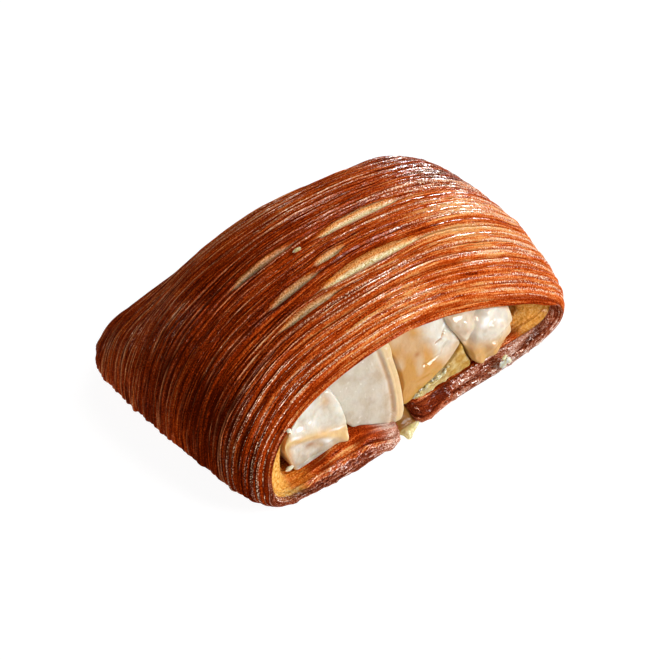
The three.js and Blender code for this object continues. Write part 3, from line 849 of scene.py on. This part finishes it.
def seam_wall(points, top, front, back, side, seed):
    """New points of one wall of the seam, and the wall's point numbers level by level from the top."""
    edge = points[top[1:-1]]
    gap = seam_gap(inner_places()[1:-1, 0])
    near_ends = np.exp(-np.arange(len(edge)) / 3.0)
    near_ends = np.maximum(near_ends, near_ends[::-1])
    start = len(points)
    wall = []
    levels = [top]
    for level in range(1, NOSE_STEPS + 1):
        share = level / (NOSE_STEPS + 1)
        middle = edge * (1, 1, 1 - share)
        swell = np.minimum(1.3, 0.3 * gap) * math.sin(math.pi * share)
        rough = 0.35 * noise(middle[:, 1] / 1.6, middle[:, 2] / 1.4, seed)
        middle[:, 0] += side * (swell + rough * np.minimum(1, gap / 3)) * (1 - near_ends)
        levels.append(np.hstack([front[-level], start + np.arange(len(edge)), back[-level]]))
        start += len(edge)
        wall.append(middle)
    return np.vstack(wall), np.array(levels)


def make_pastry():
    """The folded sheet, one closed skin from the left flap's tip to the right flap's tip."""
    outer, looks_out = outer_skin(across_places())
    inner, looks_in = inner_skin()
    front, looks_front = nose_rows(outer[0], inner[0], -1)
    back, looks_back = nose_rows(outer[-1], inner[-1], 1)
    loop = np.concatenate([outer, back, inner[::-1], front[::-1]])
    looks = {}
    for key in CRUST_LOOKS:
        parts = [looks_out[key], looks_back[key], looks_in[key][::-1], looks_front[key][::-1]]
        looks[key] = np.concatenate(parts).ravel()
    rows, columns = loop.shape[:2]
    ids = np.arange(rows * columns).reshape(rows, columns)
    after = np.roll(ids, -1, axis=0)
    quads = np.stack([ids[:, :-1], ids[:, 1:], after[:, 1:], after[:, :-1]], axis=-1)
    faces = quads.reshape(-1, 4).tolist()
    points = loop.reshape(-1, 3)

    back_rows = len(outer) + np.arange(NOSE_STEPS)
    inner_rows = len(outer) + NOSE_STEPS + np.arange(len(inner))[::-1]
    front_rows = rows - 1 - np.arange(NOSE_STEPS)
    for column, side in ((0, 1), (columns - 1, -1)):
        chains = (ids[chain, column] for chain in (inner_rows, front_rows, back_rows))
        wall, levels = seam_wall(points, *chains, side, 71 + column)
        points = np.vstack([points, wall])
        values = full_looks(CRUST_LOOKS, wall[:, 0], sheet_x=wall[:, 1], sheet_y=wall[:, 2], bake=0.8,
                            flap=0.5)
        looks = {key: np.hstack([looks[key], values[key]]) for key in CRUST_LOOKS}
        quads = np.stack([levels[:-1, :-1], levels[1:, :-1], levels[1:, 1:], levels[:-1, 1:]], axis=-1)
        faces += quads.reshape(-1, 4)[:, ::side].tolist()
        faces += zip_chains(ids[:len(outer), column].tolist(), levels[-1].tolist(), points, side < 0)
    return new_piece("danish_pastry", points, faces, looks, "pastry")


def even_ring(outline, count):
    """Even points round a rounded outline."""
    knots = np.array(outline, float)[:, None, :]
    slopes = 0.25 * (np.roll(knots, -1, axis=0) - np.roll(knots, 1, axis=0))
    s = np.linspace(0, 1, 25)[None, :-1, None]
    curve = (2 * s ** 3 - 3 * s ** 2 + 1) * knots + (s ** 3 - 2 * s ** 2 + s) * slopes
    curve = curve + (3 * s ** 2 - 2 * s ** 3) * np.roll(knots, -1, axis=0)
    curve = curve + (s ** 3 - s ** 2) * np.roll(slopes, -1, axis=0)
    dense = np.vstack([curve.reshape(-1, 2), curve[0, :1]])
    length = np.hstack([0, np.cumsum(np.hypot(*np.diff(dense, axis=0).T))])
    places = np.linspace(0, length[-1], count + 1)[:-1]
    return np.stack([np.interp(places, length, dense[:, k]) for k in (0, 1)], axis=-1)


def grow_ring(ring, size):
    """Ring moved outwards by a size."""
    run = np.roll(ring, -1, axis=0) - np.roll(ring, 1, axis=0)
    run = run / np.hypot(*run.T)[:, None]
    return ring + size * np.stack([run[:, 1], -run[:, 0]], axis=-1)


def make_strip(name, outline, span, reach, relief, paint, slot, edge, grow):
    """Strip of filling with a shaped front face; relief and paint are functions of x and z in mm."""
    front_t, back_t = span
    ring = grow_ring(even_ring(outline, RING_STEPS), grow)
    first = section_at(np.float64(front_t))
    deep = section_at(np.float64(CRUMB_FROM))
    on_left = ring[:, 0].mean() < SEAM_X

    def flap_top(x, t):
        return floor_at(np.minimum(x, SEAM_X - 0.01) if on_left else np.maximum(x, SEAM_X), t)

    floor = flap_top(ring[:, 0], front_t)
    roof = roof_at(ring[:, 0] / hollow_half(ring[:, 0], first), first)
    shares = np.stack([ring[:, 0] / hollow_half(ring[:, 0], deep),
                       clamp01((ring[:, 1] - floor) / (roof - floor))], axis=-1)

    def place(share, t):
        section = section_at(np.float64(t))
        inside = section_at(np.float64(min(max(t, CRUMB_FROM), 1 - CRUMB_FROM)))
        u = share[:, 0]
        x = u * hollow_half(u, inside)
        low = flap_top(x, t) + 0.3
        top = roof_at(x / hollow_half(x, section), section) - 0.3
        z = mix(low, np.maximum(top, low + FILLING_GAP), share[:, 1])
        forward = reach * (1 - share[:, 1]) * fall(t, front_t, 0.2)
        return np.stack([x, place_y(x, z, section) - forward, z], axis=-1)

    middle = shares.mean(axis=0)
    radius = np.hypot(*(ring - ring.mean(axis=0)).T)
    rings = []
    for step in range(FACE_STEPS, 0, -1):
        k = (step / FACE_STEPS) ** 1.25 * 0.985
        points = place(mix(shares, middle, k), front_t)
        q = clamp01(1 - k * radius / edge)
        points[:, 1] += edge * 0.9 * (1 - np.sqrt(1 - q * q))
        points[:, 1] -= relief(points[:, 0], points[:, 2]) * smooth(k * radius / edge)
        rings.append(points)
    for step in range(BODY_STEPS + 1):
        rings.append(place(shares, mix(front_t + 0.02, back_t - 0.02, (step / BODY_STEPS) ** 1.3)))
    last = place(shares, back_t)
    for size in (0.92, 0.6, 0.25):
        smaller = mix(last.mean(axis=0), last, size)
        rings.append(np.stack([smaller[:, 0], last[:, 1] + 0.5 * (1 - size), smaller[:, 2]], axis=-1))
    points, faces = tube(np.array(rings))
    return new_piece(name + "_look", points, faces, paint(points[:, 0], points[:, 2]), name)


def over_ridge_1(x, z):
    """Height above the ridge of the first piece."""
    return z - (18.4 - (x + 39) * 0.378)


def relief_1(x, z):
    """Two slabs folded over a ridge, the lower one set back with a small hollow."""
    above = over_ridge_1(x, z)
    below = (-above).clip(0)
    upper = 0.3 - 0.08 * above.clip(0, 8)
    lower = mix(0.35, 0.15, rise(x, -34, 6)) * np.minimum(below, 3.5) + 0.05 * (below - 3.5).clip(0)
    step = 0.8 * rise(x + (z - 20) * 0.55, -28.6, 4) * rise(z, 13, 3)
    folds = 0.35 * noise(x / 3, z / 2.4, 81) + 0.12 * noise(x / 1.3, z / 1.1, 83)
    return upper - lower + step + spots(x, z, LOBES_1) + folds


def paint_1(x, z):
    ridge = bump(over_ridge_1(x, z), -0.7, 1.8)
    corner = spot(x, z, (-22.6, 9.4), (3.6, 3.4))
    wedge = spot(x, z, (-27, 24), (1.6, 2.6))
    left = fall(x, -40.5, 2.5)
    low = fall(z, 8, 2) + spot(x, z, (-30.6, 10.6), (1.2, 2.0))
    # The wet strokes are painted highlights
    return full_looks(
        MEAT_LOOKS, x, peach=clamp01(0.45 * ridge + 0.6 * wedge + 0.8 * left + 0.4 * low + 0.3 * corner),
        cream=clamp01(ridge + 0.8 * corner), blush=0.75 * spot(x, z, (-33.2, 12.0), (1.7, 1.1)),
        wet=clamp01(strokes(x, z, PAINTED_HIGHLIGHTS_1)))


def inside_rim_2(x, z):
    """Distance in from the second piece's right side."""
    return np.interp(z, (4.6, 7, 12, 18, 25, 31.4), (-4.4, -3.5, -3.2, -3.5, -4.6, -6)) - x


def relief_2(x, z):
    """Flat round slice with a raised rim along its right side."""
    inside = inside_rim_2(x, z)
    rim = 0.8 * fall(inside, 1.9, 1.0) - 0.2 * bump(inside, 3.2, 0.5) - 0.15 * bump(inside, 1.5, 0.35)
    return rim + 0.2 * noise(x / 4.2, z / 4.2, 85)


def paint_2(x, z):
    inside = inside_rim_2(x, z)
    # The wet specks are painted highlights
    return full_looks(
        MEAT_LOOKS, x, peach=clamp01(0.4 * bump(inside, 3.0, 0.45) + 0.35 * fall(inside, 1, 7)),
        cream=0.75 * fall(inside, 1.9, 0.6), grey=0.95 * rise(inside, 3, 2.5),
        wet=0.4 * clamp01(8 * noise(x / 0.9, z / 1.3, 121) - 6.6))


def crack_3(x, z):
    """Short slanted crack in the white facet."""
    from_middle = x - CRACK_AT[0]
    level = z - CRACK_SLOPE * from_middle - 0.3 * noise(x, 0, 105)
    return bump(level, CRACK_AT[1], 0.32) * fall(np.abs(from_middle), 1.7, 0.7)


def relief_3(x, z):
    """Rounded piece with a slanted white facet at its upper right, a crack and a crease."""
    facet = (x - 4) * 0.62 + (z - 29) * 0.78
    slant = -0.25 * facet.clip(0) + 0.35 * bump(facet, 0, 1.2)
    bend = np.interp(x, (4, 6, 10.5, 13), (18.2, 17.5, 18, 21))
    crease = -0.4 * bump(z, bend, 0.6) * rise(x, 3.4, 1) * fall(x, 12.6, 1)
    folds = 0.25 * noise(x / 3.3, z / 3, 91) + 0.06 * noise(x / 1.3, z / 1.3, 93)
    return spots(x, z, LOBES_3) + slant - 0.6 * crack_3(x, z) + crease + folds


def paint_3(x, z):
    white = rise(x + (z - 20) * 0.35, 5.5, 6)
    low = fall(z - 0.36 * (x + 2), 9, 6)
    cloud = 1.05 + 0.35 * noise(x / 3.1, z / 4.3, 99)
    # The wet stroke is a painted highlight
    return full_looks(
        MEAT_LOOKS, x, peach=clamp01(0.9 * (1 - white) * cloud + 0.6 * low), grey=0.25,
        blush=clamp01(0.9 * spot(x, z, (2.8, 22.6), (0.9, 0.7)) + 0.95 * crack_3(x, z)),
        wet=strokes(x, z, PAINTED_HIGHLIGHTS_3))


def across_valley_4(x, z):
    """X with the slope of the fourth piece's valley taken out."""
    return x - VALLEY_SLOPE * (z - 22)


def relief_4(x, z):
    """A small lobe beside a larger wrinkled one with a pointed foot."""
    valley = -1.2 * bump(across_valley_4(x, z), 22.6, 1.0) * rise(z, 14, 3)
    folds = 0.7 * noise(x / 2.6 + z / 9, z / 2.4, 95) + 0.16 * noise(x / 1.2, z / 1.3, 97)
    return spots(x, z, LOBES_4) + valley + folds


def paint_4(x, z):
    foot = fall(z + 0.25 * (x - 26), 11, 7)
    left = fall(across_valley_4(x, z), 21.7, 2)
    # The wet strokes are painted highlights
    return full_looks(
        MEAT_LOOKS, x, peach=clamp01(0.95 * foot + 0.2 * left + 0.1 * rise(x, 33, 2)),
        cream=0.1 + 0.3 * rise(x, 32.5, 2), grey=0.25, blush=0.1 * left, wet=clamp01(strokes(x, z, PAINTED_HIGHLIGHTS_4)))


def relief_sauce(x, z):
    """Uneven front of the sauce, crumbly at its left and smooth at its right."""
    crumbly = 1 - 0.8 * rise(x, 12, 4)
    return 0.9 + crumbly * (0.6 * noise(x / 2.2, z / 1.9, 101) + 0.35 * noise(x / 1.1, z / 0.9, 103))


def paint_sauce(x, z):
    return dict(pale=clamp01(0.25 + 0.5 * noise(x / 2.2, z / 1.9, 101) - 0.25 * rise(x, 12, 4)))


def lump(centre, sizes, seed):
    """Small uneven closed blob."""
    turn = np.arange(LUMP_SIDES) / LUMP_SIDES * 2 * math.pi
    down = (np.arange(LUMP_ROWS) + 0.5)[:, None] / LUMP_ROWS * math.pi
    x = np.cos(turn) * np.sin(down)
    y = np.sin(turn) * np.sin(down)
    z = np.cos(down) + 0 * turn
    size = 1 + LUMP_ROUGH * noise(2.1 * x + 1.3 * z + 9, 2.1 * y - 1.1 * z + 5, seed)
    size = size + 0.4 * LUMP_ROUGH * noise(5 * x + z, 5 * y - 2 * z, seed + 1)
    return tube(np.stack([x, y, z], axis=-1) * size[..., None] * sizes + centre)


def sauce_bits():
    """Smear on the right flap, specks at the left, a flake on top and crumbs under the third piece."""
    bits = list(SPECKS)
    for i in range(CRUMBS):
        k = chance(i + 2100)
        spread = 2 * chance(i + 2200) - 1
        size = mix(0.3, 0.75, chance(i + 2300) ** 2)
        place = (mix(0.6, 13.5, k), -33.4 + 0.8 * chance(i + 2400), mix(6.8, 10.6, k) + 0.8 * spread)
        bits.append((place, (1.3 * size, size, 0.9 * size), 2500 + i, mix(0.6, 1, chance(i + 2600))))
    for i in range(SMEAR):
        along_flap = 2 * chance(i + 3100) - 1
        up = 2 * chance(i + 3200) - 1
        size = mix(0.6, 1.3, chance(i + 3300))
        place = (31.4 + 1.6 * along_flap - 0.6 * up, -37.8 + 0.2 * up, 4.6 + 1.8 * up)
        bits.append((place, (1.2 * size, 0.45 * size, size), 3500 + i, mix(0.7, 2, chance(i + 3600))))
    lumps = [lump(centre, sizes, seed) for centre, sizes, seed, paleness in bits]
    count = len(lumps[0][0])
    points = np.vstack([shell for shell, ends in lumps])
    faces = [[v + i * count for v in face] for i, (shell, ends) in enumerate(lumps) for face in ends]
    pale = np.repeat([float(bit[3]) for bit in bits], count)
    return new_piece("sauce_bits", points, faces, dict(pale=clamp01(pale), white=clamp01(pale - 1)))


def make_drip():
    """Sauce that has run into the seam: a low drop at the foot that rises into it, darker inside with painted
    shade.
    """
    k = np.linspace(0, 1, DRIP_STEPS)[:, None]
    angle = np.arange(DRIP_SIDES)[None, :] / DRIP_SIDES * 2 * math.pi
    swell = np.sin(math.pi * mix(0.03, 0.85, k)) ** 0.35
    half = mix(1.6, 3.7, smooth(k / 0.36)) * swell
    uneven = 1 + 0.1 * noise(k * 6, np.sin(angle) * 2 + np.cos(angle), 111)
    low, high = DRIP_HEIGHT
    top = low - 0.45 * low * rise(k, 0.2, 0.27) + high * rise(k, 0.45, 0.55)
    x = DRIP_X + 2.2 * smooth(k / 0.38) + half * np.cos(angle) * uneven
    y = DRIP_FRONT + DRIP_REACH * k + 0 * angle
    z = 0.1 + 0.5 * top * (1 + swell * np.sin(angle) * uneven)
    points, faces = tube(np.stack([x, y, np.maximum(z, 0.1)], axis=-1))
    # Painted shade inside the seam
    deep = rise(points[:, 1], DRIP_FRONT + 0.36 * DRIP_REACH, 0.1 * DRIP_REACH)
    looks = dict(pale=0.9 + 0 * deep, film_shade=deep)
    return new_piece("sauce_drip_look", points, faces, looks, "sauce_drip")


class Nodes:
    """Short way to build a material's nodes."""

    def __init__(self, name):
        self.material = bpy.data.materials.new(name)
        self.material.use_nodes = True
        self.tree = self.material.node_tree
        self.shader = self.tree.nodes["Principled BSDF"]

    def plug(self, source, target):
        if isinstance(source, (int, float, tuple)):
            target.default_value = source
        else:
            self.tree.links.new(source, target)

    def add(self, kind, inputs=(), **settings):
        """New node; each input is a value or another node's output."""
        node = self.tree.nodes.new(kind)
        for key, value in settings.items():
            setattr(node, key, value)
        for key, source in dict(inputs).items():
            self.plug(source, node.inputs[key])
        return node

    def set(self, **values):
        for key, value in values.items():
            self.plug(value, self.shader.inputs[key.replace("_", " ")])

    def value(self, name):
        return self.add("ShaderNodeAttribute", attribute_name=name).outputs["Fac"]

    def place_mm(self):
        """Place on the part in mm."""
        where = self.add("ShaderNodeTexCoord").outputs["Object"]
        return self.add("ShaderNodeVectorMath", {0: where, "Scale": 1 / MM}, operation="SCALE").outputs[0]

    def math(self, operation, *values, clamp=False):
        return self.add("ShaderNodeMath", enumerate(values), operation=operation, use_clamp=clamp).outputs[0]

    def times(self, a, b, clamp=False):
        return self.math("MULTIPLY", a, b, clamp=clamp)

    def sum(self, first, *others, clamp=False):
        for other in others:
            first = self.math("ADD", first, other, clamp=clamp)
        return first

    def scale_add(self, value, scale, offset):
        return self.math("MULTIPLY_ADD", value, scale, offset)

    def cut(self, value, scale, offset):
        """Scaled and shifted value, held between 0 and 1."""
        return self.math("MULTIPLY_ADD", value, scale, offset, clamp=True)

    def centred(self, value, scale):
        """Value between 0 and 1, scaled to lie evenly round 0."""
        return self.scale_add(value, scale, -scale / 2)

    def blend(self, k, a, b):
        return self.add("ShaderNodeMix", {"Factor": k, 6: a, 7: b}, data_type="RGBA").outputs[2]

    def tint(self, colour, tints):
        """Colour blended into each tint by the look value of the same name."""
        for name, other in tints.items():
            colour = self.blend(self.value(name), colour, other)
        return colour

    def ramp(self, k, stops):
        node = self.add("ShaderNodeValToRGB", {0: k})
        points = node.color_ramp.elements
        while len(points) < len(stops):
            points.new(0.5)
        for point, (place, colour) in zip(points, stops):
            point.position = place
            point.color = (*colour, 1)
        return node.outputs[0]

    def noise(self, where, scale, detail, roughness):
        inputs = dict(Vector=where, Scale=scale, Detail=detail, Roughness=roughness)
        return self.add("ShaderNodeTexNoise", inputs).outputs["Fac"]

    def sheet_noise(self, scale_x, scale_y, detail, roughness):
        """Noise over the unrolled sheet, stretched along its threads."""
        x = self.times(self.value("sheet_x"), scale_x)
        y = self.times(self.value("sheet_y"), scale_y)
        where = self.add("ShaderNodeCombineXYZ", dict(X=x, Y=y)).outputs[0]
        return self.noise(where, 1.0, detail, roughness)

    def bump(self, height, distance, strength):
        node = self.add("ShaderNodeBump", dict(Height=height, Distance=distance, Strength=strength))
        self.plug(node.outputs[0], self.shader.inputs["Normal"])


def crust_material():
    nodes = Nodes("baked_crust")
    where = nodes.place_mm()
    pores = nodes.noise(where, 1.3, 2.0, 0.6)
    speck = nodes.noise(where, 2.4, 1.0, 0.5)
    streak = nodes.sheet_noise(0.06, 1.5, 2.0, 0.5)
    grain = nodes.sheet_noise(0.13, 2.8, 2.0, 0.6)
    drift = nodes.sheet_noise(0.05, 0.5, 3.0, 0.6)
    dashes = nodes.sheet_noise(0.35, 1.1, 1.0, 0.5)
    crag = nodes.sheet_noise(0.8, 1.3, 2.0, 0.6)
    own_tone = nodes.value("tone")
    own_gloss = nodes.value("gloss")
    rough = nodes.math("POWER", nodes.value("flap"), 4.0)

    turns = nodes.sum(nodes.times(drift, 7.0), nodes.times(nodes.value("sheet_y"), 0.6))
    wave = nodes.math("PINGPONG", turns, 0.5)
    # Baked darkening lowers the tone; on the left side it is partly painted shade
    tone = nodes.sum(
        nodes.scale_add(own_tone, 0.16, 0.63), nodes.scale_add(wave, 0.2, -0.05), nodes.centred(streak, 1.3),
        nodes.centred(grain, 1.0), nodes.centred(speck, 1.0), nodes.times(nodes.value("bake"), -0.42))
    # Lighter crest lines, partly the crust's own colour and partly painted highlight
    line = nodes.times(nodes.value("line"), nodes.cut(grain, 3.0, -0.7), clamp=True)
    skin = nodes.blend(nodes.math("POWER", line, 2.2), nodes.ramp(tone, CRUST_COLOURS),
                       nodes.ramp(tone, EDGE_COLOURS))
    # Grooves darkened: their own darker colour, and painted shade in the ridge valleys
    skin = nodes.blend(nodes.times(nodes.value("groove"), 0.8), skin, GROOVE_COLOUR)
    # Painted glints: near-white dots put into the colour where the gloss value is high
    painted_glint_mask = nodes.math("POWER", nodes.cut(own_gloss, 1.0, 0.0), 2.0)
    skin = nodes.blend(nodes.times(painted_glint_mask, nodes.cut(speck, 9.0, -4.7), clamp=True), skin, GLINT_PAINT_COLOUR)

    bits = nodes.sum(nodes.centred(crag, 1.2), nodes.centred(speck, 1.0))
    # Painted sparkles: the flaps' colour lightens where the gloss value is high
    sparkle = nodes.times(own_gloss, nodes.cut(speck, 9.0, -4.5))
    flap_tone = nodes.sum(nodes.scale_add(own_tone, 0.25, 0.5), nodes.centred(grain, 1.0),
                          nodes.times(rough, bits), nodes.times(sparkle, 0.8))
    skin = nodes.tint(skin, dict(
        pale=nodes.ramp(speck, SPLIT_COLOURS), rust=nodes.ramp(speck, RUST_COLOURS),
        crumb=nodes.ramp(pores, CRUMB_COLOURS), flap=nodes.ramp(flap_tone, FLAP_COLOURS)))

    broken = nodes.times(nodes.cut(speck, 4.0, -1.4), nodes.cut(grain, 3.0, -0.8))
    broken = nodes.times(broken, nodes.cut(dashes, 8.0, -3.3))
    glint = nodes.times(nodes.cut(crag, 6.0, -3.1), nodes.cut(speck, 8.0, -3.9))
    gloss = nodes.sum(nodes.times(own_gloss, broken), nodes.times(rough, glint), clamp=True)
    nodes.set(Base_Color=skin, Roughness=0.5, Coat_Weight=gloss, Coat_Roughness=0.14, Coat_IOR=1.7,
              Specular_IOR_Level=0.0)
    craggy = nodes.times(rough, nodes.times(crag, 2.0))
    nodes.bump(nodes.sum(speck, nodes.times(streak, 1.5), craggy), 0.0005, 1.0)
    return nodes.material


def chicken_material():
    nodes = Nodes("cooked_chicken")
    where = nodes.place_mm()
    cloud = nodes.noise(where, 0.22, 3.0, 0.5)
    meat = nodes.tint(nodes.ramp(cloud, MEAT_COLOURS), dict(grey=nodes.ramp(cloud, GREY_COLOURS)))
    # The wet tint paints highlights into the chicken's colour
    meat = nodes.tint(meat, MEAT_TINTS)
    nodes.set(Base_Color=meat, Roughness=0.45, Coat_Weight=0.6, Coat_Roughness=0.07, Specular_IOR_Level=0.0,
              Subsurface_Weight=0.5, Subsurface_Scale=0.005, Subsurface_Radius=(1.0, 0.55, 0.3))
    # Fine bumps that break up the coat's wet highlights
    wet = nodes.noise(where, 0.9, 2.0, 0.5)
    nodes.bump(nodes.sum(cloud, nodes.times(wet, 0.45)), 0.0008, 0.5)
    return nodes.material


def sauce_material():
    nodes = Nodes("yellow_sauce")
    fleck = nodes.noise(nodes.place_mm(), 0.9, 3.0, 0.6)
    colour = nodes.tint(nodes.ramp(fleck, SAUCE_COLOURS), dict(pale=nodes.ramp(fleck, PALE_SAUCE_COLOURS)))
    colour = nodes.tint(colour, SAUCE_TINTS)
    nodes.set(Base_Color=colour, Roughness=0.35, Coat_Weight=0.2, Coat_Roughness=0.08, Specular_IOR_Level=0.0,
              Subsurface_Weight=0.5, Subsurface_Scale=0.004, Subsurface_Radius=(1.0, 0.8, 0.3))
    nodes.bump(fleck, 0.0003, 0.6)
    return nodes.material


def floor_material():
    nodes = Nodes("pale_floor")
    nodes.set(Base_Color=FLOOR_COLOUR, Roughness=0.8, Specular_IOR_Level=0.1, Emission_Color=WHITE,
              Emission_Strength=FLOOR_GLOW)
    return nodes.material


def give(piece, material):
    piece.data.materials.append(material)


def area_light(name, direction, distance, size, power, colour=None):
    """Soft lamp that looks at the middle of the part; one with a colour shows in reflections only."""
    lamp = bpy.data.lights.new(name, "AREA")
    lamp.shape = "DISK"
    lamp.size = size
    lamp.energy = power
    lamp.color = colour or WHITE[:3]
    thing = bpy.data.objects.new(name, lamp)
    way = Vector(direction).normalized()
    thing.location = LAMP_AIM + way * distance
    thing.rotation_euler = way.to_track_quat("Z", "Y").to_euler()
    thing.visible_diffuse = colour is None
    bpy.context.scene.collection.objects.link(thing)


def add_stage():
    """Pale floor and soft light."""
    scene = bpy.context.scene
    mesh = bpy.data.meshes.new("floor")
    corners = [(x * FLOOR_HALF, y * FLOOR_HALF, 0) for x, y in ((-1, -1), (1, -1), (1, 1), (-1, 1))]
    mesh.from_pydata(corners, [], [(0, 1, 2, 3)])
    floor = bpy.data.objects.new("floor", mesh)
    scene.collection.objects.link(floor)
    give(floor, floor_material())
    world = bpy.data.worlds.new("studio")
    world.use_nodes = True
    sky = world.node_tree.nodes["Background"]
    sky.inputs["Color"].default_value = WHITE
    sky.inputs["Strength"].default_value = SKY_GLOW
    scene.world = world
    for lamp in LAMPS + GLOSS_LAMPS:
        area_light(*lamp)
    scene.view_settings.view_transform = "Standard"


def add_camera():
    """Camera with the photo's view."""
    turn = math.radians(VIEW_TURN)
    tilt = math.radians(VIEW_RISE)
    back = np.array([math.sin(turn) * math.cos(tilt), -math.cos(turn) * math.cos(tilt), math.sin(tilt)])
    right = np.array([math.cos(turn), math.sin(turn), 0])
    up = np.cross(back, right)
    aim = np.array([0, 0, VIEW_LEVEL]) + right * VIEW_AIM[0] + up * VIEW_AIM[1] + CENTRE
    lens = bpy.data.cameras.new("photo_view")
    lens.lens = LENS
    lens.sensor_width = SENSOR
    lens.clip_start = 0.01
    camera = bpy.data.objects.new("photo_view", lens)
    camera.location = Vector((aim + back * VIEW_DISTANCE) * MM)
    camera.rotation_euler = Vector(back).to_track_quat("Z", "Y").to_euler()
    bpy.context.scene.collection.objects.link(camera)
    bpy.context.scene.camera = camera


def add_filling():
    """Chicken, sauce, drip and bits; each strip has its span along the sleeve, reach, edge and growth."""
    chicken = chicken_material()
    sauce = sauce_material()
    strips = (
        ("chicken_1", CHICKEN_1, (0.025, 0.93), -2.2, relief_1, paint_1, "chicken", 0.8, 0.9),
        ("chicken_2", CHICKEN_2, (0.035, 0.95), -1.8, relief_2, paint_2, "chicken", 0.9, 0.6),
        ("chicken_3", CHICKEN_3, (0.035, 0.92), -2.2, relief_3, paint_3, "chicken", 0.9, 0.7),
        ("chicken_4", CHICKEN_4, (0.03, 0.94), -0.6, relief_4, paint_4, "chicken", 1.3, 1.0),
    )
    for strip in strips:
        give(make_strip(*strip), chicken)
    give(make_strip("sauce", SAUCE, (0.04, 0.95), -2, relief_sauce, paint_sauce, "sauce", 0.9, 0.5), sauce)
    give(make_drip(), sauce)
    give(sauce_bits(), sauce)


give(make_pastry(), crust_material())
add_filling()
add_stage()
add_camera()
